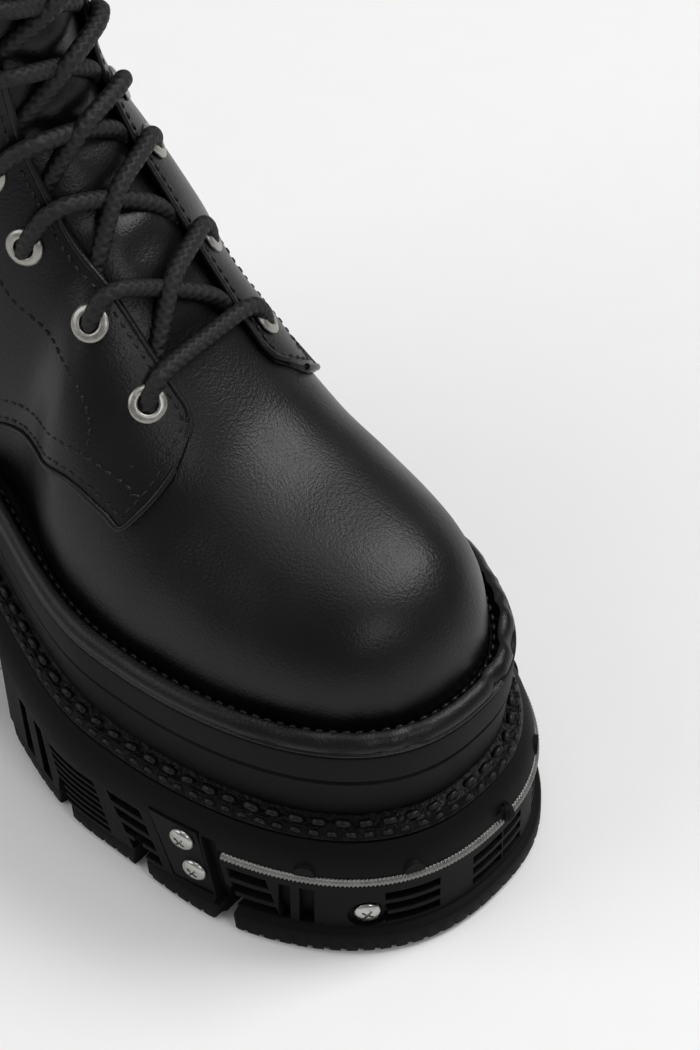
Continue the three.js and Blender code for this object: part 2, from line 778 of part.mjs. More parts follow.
function laceStrand(from, to, sign, middleOffset) {
  const blend = (t) => from + (to - from) * t;
  return tube([
    surfacePoint(blend(0.36), -sign * (throatHalfGap - laceDiameter / 2 - 1), laceDiameter / 2 - 1.8),
    surfacePoint(blend(0.62), 0, middleOffset),
    surfacePoint(blend(0.86), sign * (throatHalfGap - 1), laceOverEdge),
    surfacePoint(blend(0.95), sign * (eyeletAcross - 5.5), laceOverEyelet + 0.6),
    surfacePoint(to, sign * (eyeletAcross + 0.5), laceOverEyelet + 0.8),
  ], laceDiameter, laceSides, 5);
}

function laceBar(place) {
  const marks = [eyeletAcross + 0.5, eyeletAcross - 6, throatHalfGap - 1];
  const points = [...marks.map((mark) => -mark), 0, ...marks.toReversed()].map((across) => {
    const offset = Math.abs(across) > throatHalfGap ? laceOverEyelet : laceOverEdge;
    return surfacePoint(place, across, across === 0 ? offset - 1 : offset + 1);
  });
  return tube(points, laceDiameter, laceSides, 8);
}

addPiece('outsole', outsole(), rubber);
addPiece('stitch_ledge', planStack([
  { inset: outsoleInset, height: raised(ledgeLevel) },
  { inset: ledgeInset - 0.4, height: raised(ledgeLevel + ledgeHeight) },
]), rubber);
addPiece('midsole_lower', planStack([
  { inset: ledgeInset, height: raised(bandLevel) },
  { inset: bandInset + 0.4, height: raised(bandSplit) },
]), rubber);
addPiece('midsole_upper', planStack([
  { inset: bandInset, height: raised(bandSplit + clearance) },
  { inset: bandInset + 0.2, height: raised(bandTop) },
]), rubber);
addPiece('welt', welt(), leather);
addPiece('insole', insole(), leather);
addPiece('upper', upper(), leather);
addPiece('quarter_inner', quarter(sides.inner), leather);
addPiece('quarter_outer', quarter(sides.outer), leather);
addPiece('tongue', tongue(), leather);
addPiece('toe_spring', tube(springPath(springReach), springDiameter, 6, 18), steel);
addPiece('waist_tube', waistTube(), steel);
Object.entries(sides).forEach(([sideName, side]) => {
  addPiece(`side_plate_${sideName}`, sidePlate(side), rubber);
  Object.entries(plateScrews).forEach(([level, [station, height]]) => {
    const screw = onWall(screwHead(), side, frontSlot + station, wallInset, height);
    addPiece(`screw_${level}_${sideName}`, screw, steel);
  });
  const toeScrew = onWall(screwHead(), side, toeScrewStation, wallInset + 1, toeScrewHeight);
  addPiece(`screw_toe_${sideName}`, toeScrew, steel);
  eyeletPlaces.forEach((place, i) => {
    addPiece(`eyelet_${sideName}_${i + 1}`, eyelet(place, side.sign), nickel);
  });
});
addPiece('lace_bar', laceBar(eyeletPlaces[0]), cord);
for (let i = 0; i < eyeletPlaces.length - 1; i += 1) {
  const [from, to] = [eyeletPlaces[i], eyeletPlaces[i + 1]];
  const under = laceStrand(from, to, -1, laceDiameter / 2 - 1);
  const over = laceStrand(from, to, 1, laceDiameter / 2 + 3);
  addPiece(`lace_cross_${i + 1}`, under.add(over), cord);
}

export default group;
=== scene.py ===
"""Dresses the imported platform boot: smooth leather, stitching, lugged rubber, coil spring, eyelets and laces.

Sizes are in millimetres until a mesh is made. +X points to the toe, +Y to the wearer's left and +Z is up.
"""
import json
import math

import bpy
import bmesh
from bpy.props import FloatProperty, FloatVectorProperty, PointerProperty
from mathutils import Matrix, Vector, noise
from mathutils.bvhtree import BVHTree

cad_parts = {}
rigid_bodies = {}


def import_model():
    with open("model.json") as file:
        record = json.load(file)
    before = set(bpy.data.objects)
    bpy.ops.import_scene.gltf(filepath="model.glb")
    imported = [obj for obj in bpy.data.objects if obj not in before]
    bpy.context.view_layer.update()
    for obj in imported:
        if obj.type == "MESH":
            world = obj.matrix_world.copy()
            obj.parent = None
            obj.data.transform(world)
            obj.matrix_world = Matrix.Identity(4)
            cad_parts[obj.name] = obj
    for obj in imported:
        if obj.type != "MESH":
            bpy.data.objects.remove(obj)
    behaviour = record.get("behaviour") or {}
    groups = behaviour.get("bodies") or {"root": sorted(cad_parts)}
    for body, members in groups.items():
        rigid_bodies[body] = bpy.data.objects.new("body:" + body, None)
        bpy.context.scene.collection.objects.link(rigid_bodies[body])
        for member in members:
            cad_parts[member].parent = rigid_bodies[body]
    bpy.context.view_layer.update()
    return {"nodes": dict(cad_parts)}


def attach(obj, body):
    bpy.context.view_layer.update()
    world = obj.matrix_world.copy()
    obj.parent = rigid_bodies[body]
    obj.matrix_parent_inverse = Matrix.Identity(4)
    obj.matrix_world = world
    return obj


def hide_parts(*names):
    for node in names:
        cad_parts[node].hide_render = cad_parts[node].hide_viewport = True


bl_info = {
    "name": "Platform Boot",
    "version": (1, 0, 0),
    "blender": (4, 5, 0),
    "location": "View3D > Sidebar > Boot",
    "description": "Builds a lace-up platform boot round its packed solids",
    "category": "Object",
}

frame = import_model()
MM = 0.001

# Sole
SOLE_LENGTH = 290.0
BALL_WIDTH = 126.0
HEEL_LIFT = 18.0
OUTSOLE_HEIGHT = 41.6
OUTSOLE_INSET = 7.1
LEDGE_HEIGHT = 4.4
LEDGE_INSET = 12.4
LOWER_BAND = 15.7
UPPER_BAND = 10.8
BAND_INSET = 10.7
WELT_HEIGHT = 5.5
FEATHER_INSET = 17.9
CLEARANCE = 0.3
WALL_INSET = 3.0
SHELF_HEIGHT = 9.0
SPRING_SET_BACK = 2.5
SPRING_LEVEL = 29.4
SPRING_INSET = WALL_INSET + 0.5
ARCH_HEIGHT = 45.0
ARCH_LENGTH = 46.0
ARCH_MIDDLE = -23.0
FRONT_SLOT = (0.8207 - 0.5) * SOLE_LENGTH
SPRING_REACH = FRONT_SLOT - SPRING_SET_BACK
LOWER_EDGE = 4.0
LUG_PITCH = 30.5
TOE_SCREW_STATION = (0.935 - 0.5) * SOLE_LENGTH
TOE_SCREW_HEIGHT = 15.0

# Upper
COLLAR_HEIGHT = 298.0
WALL = 2.2
QUARTER = 1.8
THROAT_HALF_GAP = 14.5
TONGUE = 4.0
THROAT_AXIS = 4.4
EYELET_SET_BACK = 8.5
EYELET_PITCH = 26.0
EYELET_ACROSS = THROAT_HALF_GAP + EYELET_SET_BACK

LEDGE_LEVEL = OUTSOLE_HEIGHT + CLEARANCE
BAND_LEVEL = LEDGE_LEVEL + LEDGE_HEIGHT + CLEARANCE
BAND_SPLIT = BAND_LEVEL + LOWER_BAND
BAND_TOP = BAND_SPLIT + CLEARANCE + UPPER_BAND
FEATHER_LEVEL = BAND_TOP + CLEARANCE
UPPER_RISE = COLLAR_HEIGHT - FEATHER_LEVEL

# Plan of each side: sign, ball, ball station, toe power, waist, waist station, heel, heel station, heel power
SIDES = {
    "inner": (-1, 0.525, 0.65, 2.43, 0.345, 0.36, 0.395, 0.17, 2.3),
    "outer": (1, 0.475, 0.63, 2.25, 0.41, 0.38, 0.39, 0.17, 2.3),
}
TOE_AXIS = BALL_WIDTH * (SIDES["inner"][1] - SIDES["outer"][1]) / 2

# topX, topZ, lowX, lowZ, inner, outer, wide, topPower, lowPower, nose, centre
SECTIONS = [
    (0.9376, 0.037, 0.9376, -0.052, 0, 0, 0.5, 2.2, 6, 1, 0),
    (0.9334, 0.064, 0.9334, -0.052, 0, 0, 0.45, 2.2, 7, 1, 0),
    (0.9248, 0.095, 0.9248, -0.052, 0, 0, 0.42, 2.2, 8, 0.9, 0),
    (0.9086, 0.126, 0.9086, -0.052, 0, 0, 0.4, 2.25, 8, 0.75, 0),
    (0.8828, 0.153, 0.8828, -0.052, 0, 0, 0.38, 2.3, 8, 0.55, 0),
    (0.8483, 0.173, 0.8483, -0.052, 0, 0, 0.3, 2.35, 8, 0.35, 0),
    (0.8034, 0.191, 0.8034, -0.052, 0, 0, 0.24, 2.35, 8, 0.15, 0),
    (0.7517, 0.211, 0.7517, -0.052, 0, 0, 0.18, 2.35, 8, 0, 0.1),
    (0.7000, 0.242, 0.7000, -0.052, 0, 0, 0.14, 2.3, 8, 0, 0.3),
    (0.6534, 0.289, 0.6534, -0.052, 0, 0, 0.13, 2.3, 8, 0, 0.6),
    (0.6138, 0.340, 0.5966, -0.052, 0, 0, 0.14, 2.35, 8, 0, 0.8),
    (0.5759, 0.394, 0.5414, -0.052, 0, 0, 0.18, 2.4, 7, 0, 1),
    (0.5414, 0.443, 0.4586, -0.052, 0.245, 0.33, 0.28, 2.4, 5, 0, 1),
    (0.5138, 0.485, 0.3552, -0.043, 0.245, 0.325, 0.4, 2.4, 3.2, 0, 1),
    (0.4966, 0.523, 0.2517, -0.021, 0.255, 0.312, 0.47, 2.3, 2.6, 0, 1),
    (0.4862, 0.556, 0.1500, 0.010, 0.265, 0.3, 0.48, 2.25, 2.8, 0, 1),
    (0.4793, 0.590, 0.0720, 0.055, 0.272, 0.288, 0.48, 2.2, 2.9, 0, 1),
    (0.4741, 0.626, 0.0552, 0.135, 0.276, 0.278, 0.5, 2.15, 2.2, 0, 1),
    (0.4690, 0.663, 0.0552, 0.264, 0.28, 0.282, 0.5, 2.1, 2, 0, 0.9),
    (0.4655, 0.706, 0.0759, 0.407, 0.288, 0.29, 0.5, 2.1, 2, 0, 0.8),
    (0.4586, 0.786, 0.0966, 0.585, 0.302, 0.302, 0.5, 2.1, 2.05, 0, 0.6),
    (0.4517, 0.889, 0.1000, 0.786, 0.318, 0.318, 0.5, 2.15, 2.1, 0, 0.4),
    (0.4414, 1.000, 0.0897, 1.000, 0.332, 0.332, 0.5, 2.2, 2.15, 0, 0.3),
    (0.4379, 1.071, 0.0862, 1.071, 0.335, 0.335, 0.5, 2.2, 2.15, 0, 0.3),
]
COLLAR_ROW = len(SECTIONS) - 2
VAMP_THROAT = 9.75
FACING_THROAT = 8.45
TONGUE_FOOT = 8.8
UNDER_LAP = 10.9
TONGUE_CROWN = 0.5
QUARTER_EDGE = [
    (0.72, 1.4), (0.69, 0.42), (0.667, 0.31), (0.677, 0.255), (0.677, 0.228), (0.668, 0.2), (0.654, 0.178),
    (0.631, 0.19), (0.586, 0.203), (0.528, 0.18), (0.474, 0.158), (0.41, 0.12), (0.36, 0.07), (0.34, -0.1),
]
EYELET_STEPS = [0, 1, 1.13, 0.7, 0.85, 0.98, 0.98, 0.98]
FIRST_EYELET = 9.49

OUTLINE_STEPS = 96
FORM_SIDES = 112


# The boot's own shape

def smooth(t):
    c = min(1.0, max(0.0, t))
    return c * c * (3 - 2 * c)


def station_at(share):
    return (share - 0.5) * SOLE_LENGTH


def half_width(side, x, inset):
    sign, ball, ball_at, toe_power, waist, waist_at, heel, heel_at, heel_power = SIDES[side]
    ball_x, waist_x, heel_x = station_at(ball_at), station_at(waist_at), station_at(heel_at)
    end = SOLE_LENGTH / 2 - inset
    ball, waist, heel = (share * BALL_WIDTH - inset for share in (ball, waist, heel))
    if x >= ball_x:
        t = min(1.0, (x - ball_x) / (end - ball_x))
        return ball * (1 - t ** toe_power) ** (1 / toe_power)
    if x >= waist_x:
        return waist + (ball - waist) * smooth((x - waist_x) / (ball_x - waist_x))
    if x >= heel_x:
        return heel + (waist - heel) * smooth((x - heel_x) / (waist_x - heel_x))
    t = min(1.0, (heel_x - x) / (heel_x + end))
    return heel * (1 - t ** heel_power) ** (1 / heel_power)


def lift(x):
    start, end = station_at(0.74), station_at(0.18)
    return HEEL_LIFT * smooth((start - x) / (start - end))


def raised(level):
    return lambda x: level + lift(x)


def plan_loop(inset, height):
    inset_at = inset if callable(inset) else (lambda x: inset)
    height_at = height if callable(height) else (lambda x: height)
    points = []
    for number, side in enumerate(("inner", "outer")):
        for i in range(OUTLINE_STEPS + 1):
            if number == 1 and i in (0, OUTLINE_STEPS):
                continue
            turn = math.pi * (i if number == 0 else OUTLINE_STEPS - i) / OUTLINE_STEPS
            draw_in = inset_at(-math.cos(turn) * SOLE_LENGTH / 2)
            x = -math.cos(turn) * (SOLE_LENGTH / 2 - draw_in)
            y = TOE_AXIS + SIDES[side][0] * half_width(side, x, draw_in)
            points.append(Vector((x, y, height_at(x))))
    return points


def plan_point(side, x, inset, z):
    return Vector((x, TOE_AXIS + SIDES[side][0] * half_width(side, x, inset), z))


def toe_run(reach, steps, inset, height):
    end = SOLE_LENGTH / 2 - inset
    points = []
    for i in range(steps + 1):
        share = 2 * i / steps - 1
        side = "inner" if share < 0 else "outer"
        x = reach + (end - reach) * math.cos(abs(share) * math.pi / 2)
        points.append(plan_point(side, x, inset, height + lift(x)))
    return points


SECTION_ROWS = []
for row in SECTIONS:
    top_x, top_z, low_x, low_z, inner, outer, wide, top_power, low_power, nose, centre = row
    plan_x = station_at(low_x)
    shift = centre * (THROAT_AXIS - TOE_AXIS)
    SECTION_ROWS.append((
        station_at(top_x), FEATHER_LEVEL + top_z * UPPER_RISE, plan_x, FEATHER_LEVEL + low_z * UPPER_RISE,
        inner * BALL_WIDTH if inner else half_width("inner", plan_x, FEATHER_INSET) + shift,
        outer * BALL_WIDTH if outer else half_width("outer", plan_x, FEATHER_INSET) - shift,
        wide, top_power, low_power, nose, TOE_AXIS + shift,
    ))


def section_at(place):
    row = min(len(SECTION_ROWS) - 2, math.floor(place))
    t = place - row
    near = [SECTION_ROWS[min(len(SECTION_ROWS) - 1, max(0, i))] for i in range(row - 1, row + 3)]
    blend = []
    for a, b, c, d in zip(*near):
        blend.append(b + 0.5 * t * (c - a + t * (2 * a - 5 * b + 4 * c - d + t * (3 * (b - c) + d - a))))
    return blend


def section_point(section, angle, offset):
    top_x, top_z, low_x, low_z, inner, outer, wide, top_power, low_power, nose, centre = section
    c, s = math.cos(angle), math.sin(angle)
    power = top_power if c >= 0 else low_power
    along, across = abs(c) ** (2 / power), abs(s) ** (2 / power)
    axis_x, axis_z = top_x - low_x, top_z - low_z
    span = math.hypot(axis_x, axis_z)
    share = wide + (1 - wide) * along if c >= 0 else wide * (1 - along)
    reach = share * (span + 2 * offset) - offset
    half = (inner if s >= 0 else outer) + offset
    return Vector((
        low_x + axis_x * reach / span + nose * offset,
        centre - math.copysign(1, s) * half * across,
        low_z + axis_z * reach / span,
    ))


def surface_point(place, across, offset):
    section = section_at(place)
    half = section[4] if across < 0 else section[5]
    share = min(1.0, abs(across) / (half + offset)) ** (section[7] / 2)
    return section_point(section, (1 if across < 0 else -1) * math.asin(share), offset)


def surface_normal(place, across):
    along = surface_point(place + 0.1, across, 0) - surface_point(place - 0.1, across, 0)
    over = surface_point(place, across + 0.5, 0) - surface_point(place, across - 0.5, 0)
    return over.cross(along).normalized()


def place_after(start, across, distance):
    place, travelled = start, 0.0
    while travelled < distance:
        travelled += (surface_point(place, across, 0) - surface_point(place + 0.02, across, 0)).length
        place += 0.02
    return place


EYELET_PLACES = []
for eyelet_step in EYELET_STEPS:
    EYELET_PLACES.append(place_after(EYELET_PLACES[-1] if EYELET_PLACES else FIRST_EYELET, EYELET_ACROSS,
                                     eyelet_step * EYELET_PITCH))


# Meshes

def loft(loops):
    count = len(loops[0])
    faces = []
    for row in range(len(loops) - 1):
        for i in range(count):
            a, b = row * count + i, row * count + (i + 1) % count
            faces.append((a, b, b + count, a + count))
    last = (len(loops) - 1) * count
    for i in range(count // 2):
        near = (i, i + 1)
        far = ((count - i) % count, count - 1 - i)
        if i == 0:
            faces.append((near[0], far[1], near[1]))
            faces.append((last + near[0], last + near[1], last + far[1]))
        elif i == count // 2 - 1:
            faces.append((near[0], far[0], near[1]))
            faces.append((last + near[0], last + near[1], last + far[0]))
        else:
            faces.append((near[0], far[0], far[1], near[1]))
            faces.append((last + near[0], last + near[1], last + far[1], last + far[0]))
    return [point for loop in loops for point in loop], faces


def ring_loft(rings):
    count = len(rings[0])
    faces = []
    for r in range(len(rings)):
        start, after = r * count, ((r + 1) % len(rings)) * count
        for i in range(count):
            j = (i + 1) % count
            faces.append((start + i, after + i, after + j, start + j))
    return [point for ring in rings for point in ring], faces


def prism(outline, from_y, to_y):
    count = len(outline)
    points = [Vector((x, y, z)) for y in (from_y, to_y) for x, z in outline]
    faces = [tuple(range(count)), tuple(range(2 * count - 1, count - 1, -1))]
    faces += [(i, (i + 1) % count, count + (i + 1) % count, count + i) for i in range(count)]
    return points, faces


def join(parts):
    points, faces = [], []
    for part_points, part_faces in parts:
        start = len(points)
        points.extend(part_points)
        faces.extend(tuple(start + i for i in face) for face in part_faces)
    return points, faces


def mesh_of(name, part):
    points, faces = part
    mesh = bpy.data.meshes.new(name)
    mesh.from_pydata([tuple(point * MM) for point in points], [], faces)
    work = bmesh.new()
    work.from_mesh(mesh)
    bmesh.ops.remove_doubles(work, verts=work.verts, dist=1e-6)
    bmesh.ops.recalc_face_normals(work, faces=work.faces)
    work.to_mesh(mesh)
    work.free()
    return mesh


def working_object(name, part):
    made = bpy.data.objects.new(name, mesh_of(name, part))
    bpy.context.scene.collection.objects.link(made)
    return made


def cut(body, steps):
    """Applies (operation, part) steps to an object's mesh, one after the other."""
    tools = []
    for operation, part in steps:
        tool = working_object("cutter", part)
        change = body.modifiers.new("cut", "BOOLEAN")
        change.operation = operation
        change.solver = "MANIFOLD"
        change.object = tool
        tools.append(tool)
    bpy.context.view_layer.update()
    made = bpy.data.meshes.new_from_object(body.evaluated_get(bpy.context.evaluated_depsgraph_get()))
    body.modifiers.clear()
    body.data = made
    for tool in tools:
        bpy.data.objects.remove(tool)
    return body


def finish_piece(made, material, replaces=(), sharp=32.0):
    mesh = made.data
    mesh.materials.clear()
    mesh.materials.append(material)
    mesh.shade_smooth()
    mesh.set_sharp_from_angle(angle=math.radians(sharp))
    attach(made, "root")
    if replaces:
        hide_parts(*replaces)
    return made


def carry_over(names, material):
    for name in names:
        mesh = frame["nodes"][name].data
        mesh.materials.clear()
        mesh.materials.append(material)


# Materials

def linear(code):
    """An sRGB hex colour, such as 1a2b3c, as linear numbers."""
    values = [int(code[i:i + 2], 16) / 255 for i in (0, 2, 4)]
    return [v / 12.92 if v <= 0.04045 else ((v + 0.055) / 1.055) ** 2.4 for v in values]


def add_node(tree, kind, inputs=None, **settings):
    node = tree.nodes.new(kind)
    for key, value in settings.items():
        setattr(node, key, value)
    for key, value in (inputs or {}).items():
        socket = node.inputs[key]
        if isinstance(value, bpy.types.NodeSocket):
            tree.links.new(value, socket)
        else:
            socket.default_value = value
    return node


def start_material(name, values):
    material = bpy.data.materials.new(name)
    material.use_nodes = True
    tree = material.node_tree
    tree.nodes.clear()
    shader = add_node(tree, "ShaderNodeBsdfPrincipled", values)
    output = add_node(tree, "ShaderNodeOutputMaterial")
    tree.links.new(shader.outputs["BSDF"], output.inputs["Surface"])
    return material, tree, shader


def object_place(tree):
    return add_node(tree, "ShaderNodeTexCoord").outputs["Object"]


def add_ramp(tree, factor, low, high, low_colour, high_colour):
    ramp = add_node(tree, "ShaderNodeValToRGB", {"Fac": factor})
    ramp.color_ramp.elements[0].position = low
    ramp.color_ramp.elements[0].color = (*low_colour, 1)
    ramp.color_ramp.elements[1].position = high
    ramp.color_ramp.elements[1].color = (*high_colour, 1)
    return ramp.outputs["Color"]


def grey(value):
    return (value, value, value)


def smooth_leather():
    """Smooth corrected-grain cowhide, pigment finished: low even gloss over a pebble of 0.75 mm cells."""
    colour = bpy.context.scene.boot_colours.leather
    material, tree, shader = start_material(
        "Smooth pigmented cowhide", {"Specular IOR Level": 0.26, "IOR": 1.5})
    place = object_place(tree)
    pebble = add_node(tree, "ShaderNodeTexVoronoi", {"Vector": place, "Scale": 1 / (0.75 * MM)},
                      feature="SMOOTH_F1").outputs["Distance"]
    pores = add_node(tree, "ShaderNodeTexNoise", {"Vector": place, "Scale": 1 / (0.4 * MM), "Detail": 3.0})
    wear = add_node(tree, "ShaderNodeTexNoise", {"Vector": place, "Scale": 1 / (22 * MM), "Detail": 2.0})
    dark = [v * 0.75 for v in colour]
    light = [v * 1.35 for v in colour]
    tree.links.new(add_ramp(tree, wear.outputs["Fac"], 0.3, 0.75, dark, light), shader.inputs["Base Color"])
    tree.links.new(add_ramp(tree, wear.outputs["Fac"], 0.25, 0.75, grey(0.3), grey(0.4)),
                   shader.inputs["Roughness"])
    fine = add_node(tree, "ShaderNodeMath", {0: pebble, 1: pores.outputs["Fac"]}, operation="ADD")
    bump = add_node(tree, "ShaderNodeBump",
                    {"Height": fine.outputs[0], "Strength": 0.45, "Distance": 0.15 * MM})
    broad = add_node(tree, "ShaderNodeBump", {"Height": wear.outputs["Fac"], "Strength": 0.3,
                                              "Distance": 0.8 * MM, "Normal": bump.outputs["Normal"]})
    tree.links.new(broad.outputs["Normal"], shader.inputs["Normal"])
    return material


def moulded_rubber(name, hue, rough, grain, depth):
    """Black rubber from a mould: the grain is the spark-eroded finish of the mould, and the gloss is low."""
    material, tree, shader = start_material(name, {"Specular IOR Level": 0.09, "IOR": 1.52})
    place = object_place(tree)
    edge = add_node(tree, "ShaderNodeBevel", {"Radius": 0.45 * MM}, samples=4).outputs["Normal"]
    fine = add_node(tree, "ShaderNodeTexNoise", {"Vector": place, "Scale": 1 / (grain * MM), "Detail": 4.0})
    broad = add_node(tree, "ShaderNodeTexNoise", {"Vector": place, "Scale": 1 / (30 * MM), "Detail": 3.0})
    dark, light = [v * 0.8 for v in hue], [v * 1.3 for v in hue]
    tree.links.new(add_ramp(tree, broad.outputs["Fac"], 0.3, 0.7, dark, light), shader.inputs["Base Color"])
    tree.links.new(add_ramp(tree, broad.outputs["Fac"], 0.3, 0.7, grey(rough), grey(rough + 0.1)),
                   shader.inputs["Roughness"])
    bump = add_node(tree, "ShaderNodeBump", {"Height": fine.outputs["Fac"], "Strength": 0.6,
                                             "Distance": depth * MM, "Normal": edge})
    tree.links.new(bump.outputs["Normal"], shader.inputs["Normal"])
    return material


def waxed_cord():
    """Round polyester braid, waxed: the braid is in the mesh, and the wax gives its ridges a soft shine."""
    colour = bpy.context.scene.boot_colours.cord
    material, tree, shader = start_material("Waxed polyester braid", {"Specular IOR Level": 0.4, "IOR": 1.5})
    place = object_place(tree)
    fibre = add_node(tree, "ShaderNodeTexNoise", {"Vector": place, "Scale": 1 / (0.35 * MM), "Detail": 3.0})
    tree.links.new(add_ramp(tree, fibre.outputs["Fac"], 0.3, 0.7, [v * 0.6 for v in colour],
                            [v * 1.7 for v in colour]), shader.inputs["Base Color"])
    tree.links.new(add_ramp(tree, fibre.outputs["Fac"], 0.3, 0.7, grey(0.5), grey(0.7)),
                   shader.inputs["Roughness"])
    bump = add_node(tree, "ShaderNodeBump", {"Height": fibre.outputs["Fac"], "Strength": 0.5,
                                             "Distance": 0.15 * MM})
    tree.links.new(bump.outputs["Normal"], shader.inputs["Normal"])
    return material


def sewing_thread():
    """Bonded nylon thread: dark, with the small bright glint that its bonding gives each stitch."""
    material, tree, shader = start_material(
        "Bonded nylon thread", {"Roughness": 0.42, "IOR": 1.53, "Specular IOR Level": 0.25})
    place = object_place(tree)
    ply = add_node(tree, "ShaderNodeTexNoise", {"Vector": place, "Scale": 1 / (0.5 * MM), "Detail": 2.0})
    colour = bpy.context.scene.boot_colours.thread
    tree.links.new(add_ramp(tree, ply.outputs["Fac"], 0.3, 0.7, [v * 0.5 for v in colour],
                            [v * 1.8 for v in colour]), shader.inputs["Base Color"])
    return material


def plated_metal(name, hue, rough, scale):
    """Plated steel: a bright metal whose thin scratches and dulling show in its roughness."""
    material, tree, shader = start_material(name, {"Metallic": 1.0})
    place = object_place(tree)
    dull = add_node(tree, "ShaderNodeTexNoise", {"Vector": place, "Scale": 1 / (scale * MM), "Detail": 4.0})
    tree.links.new(add_ramp(tree, dull.outputs["Fac"], 0.3, 0.7, [v * 0.75 for v in hue], hue),
                   shader.inputs["Base Color"])
    tree.links.new(add_ramp(tree, dull.outputs["Fac"], 0.3, 0.7, grey(rough), grey(rough + 0.15)),
                   shader.inputs["Roughness"])
    return material


def woven_lining():
    """Cotton twill lining: a matt weave that takes the light evenly and shows no gloss."""
    material, tree, shader = start_material(
        "Cotton twill lining", {"Roughness": 0.92, "Specular IOR Level": 0.15})
    place = object_place(tree)
    twill = add_node(tree, "ShaderNodeTexWave", {"Vector": place, "Scale": 1 / (6.0 * MM), "Distortion": 0.4},
                     bands_direction="DIAGONAL").outputs["Fac"]
    colour = bpy.context.scene.boot_colours.lining
    tree.links.new(add_ramp(tree, twill, 0.2, 0.8, [v * 0.7 for v in colour], colour),
                   shader.inputs["Base Color"])
    return material


MATERIALS = {}


def make_materials():
    colours = bpy.context.scene.boot_colours
    MATERIALS["leather"] = smooth_leather()
    ledge_hue = [v * 0.8 for v in colours.rubber]
    MATERIALS["outsole"] = moulded_rubber("Moulded vulcanised rubber", colours.rubber, 0.55, 0.8, 0.12)
    MATERIALS["ledge"] = moulded_rubber("Ground rubber ledge", ledge_hue, 0.28, 2.6, 1.6)
    MATERIALS["midsole"] = moulded_rubber("Buffed foam rubber", colours.rubber, 0.48, 0.5, 0.06)
    MATERIALS["lining"] = woven_lining()
    MATERIALS["cord"] = waxed_cord()
    MATERIALS["thread"] = sewing_thread()
    MATERIALS["nickel"] = plated_metal("Antique nickel plate", colours.nickel, 0.3, 1.5)
    MATERIALS["spring"] = plated_metal("Drawn spring steel", [v * 0.45 for v in colours.steel], 0.32, 3.0)
    MATERIALS["steel"] = plated_metal("Bright zinc-plated steel", colours.steel, 0.2, 3.0)


# Detail shared by several pieces

def resample(points, spacing):
    """Points a fixed distance apart along a line of points."""
    made, left = [points[0]], spacing
    for a, b in zip(points, points[1:]):
        length = (b - a).length
        while left <= length:
            a = a + (b - a) * (left / length)
            made.append(a)
            length -= left
            left = spacing
        left -= length
    return made


def spline(points, steps):
    """A smooth line through points."""
    made = []
    for i in range(len(points) - 1):
        a, b, c, d = (points[min(len(points) - 1, max(0, i + k))] for k in (-1, 0, 1, 2))
        for step in range(steps):
            t = step / steps
            made.append(b + 0.5 * t * (c - a + t * (2 * a - 5 * b + 4 * c - d + t * (3 * (b - c) + d - a))))
    made.append(points[-1])
    return made


def stitch(start, end, normal, thickness, rise):
    """One stitch: a short thread that rises from one hole and dives into the next."""
    along = end - start
    across = along.cross(normal).normalized() * thickness / 2
    up = normal * thickness / 2
    points, faces = [], []
    rings = ((0.0, -0.9, 0.55), (0.2, 0.1, 1.0), (0.5, 0.35, 1.0), (0.8, 0.1, 1.0), (1.0, -0.9, 0.55))
    for share, height, width in rings:
        middle = start + along * share + normal * rise * height
        for k in range(6):
            turn = 2 * math.pi * k / 6
            points.append(middle + across * math.cos(turn) * width + up * math.sin(turn) * width)
    for ring in range(len(rings) - 1):
        for k in range(6):
            a, b = ring * 6 + k, ring * 6 + (k + 1) % 6
            faces.append((a, b, b + 6, a + 6))
    faces.append(tuple(range(5, -1, -1)))
    faces.append(tuple(range(len(points) - 6, len(points))))
    return points, faces


def stitch_row(line, normals, length, gap, thickness, rise=0.5):
    """Stitches along a line. normals is a function from a point to the way out of the surface."""
    parts = []
    marks = resample(line, length + gap)
    for a, b in zip(marks, marks[1:]):
        uneven = noise.noise(a * 0.9 + Vector((0.5, 0.5, 0.5)))
        normal = normals((a + b) / 2)
        lean = (b - a).cross(normal) * 0.1 * uneven
        end = a + (b - a) * (length / (length + gap)) * (1 + 0.2 * uneven)
        parts.append(stitch(a - lean, end + lean, normal, thickness * (1 + 0.25 * uneven), rise))
    return parts


def swept(line, radius, sides, shape=None):
    """A round tube along a line. shape(distance, turn) scales its radius."""
    loops = []
    up = Vector((0, 0, 1))
    distance = 0.0
    for i, middle in enumerate(line):
        before, after = line[max(0, i - 1)], line[min(len(line) - 1, i + 1)]
        along = (after - before).normalized()
        up = (up - along * up.dot(along)).normalized()
        across = along.cross(up)
        distance += (middle - before).length if i else 0.0
        loop = []
        for k in range(sides):
            turn = 2 * math.pi * k / sides
            reach = radius * (shape(distance, turn) if shape else 1)
            loop.append(middle + up * math.cos(turn) * reach + across * math.sin(turn) * reach)
        loops.append(loop)
    return loft(loops)


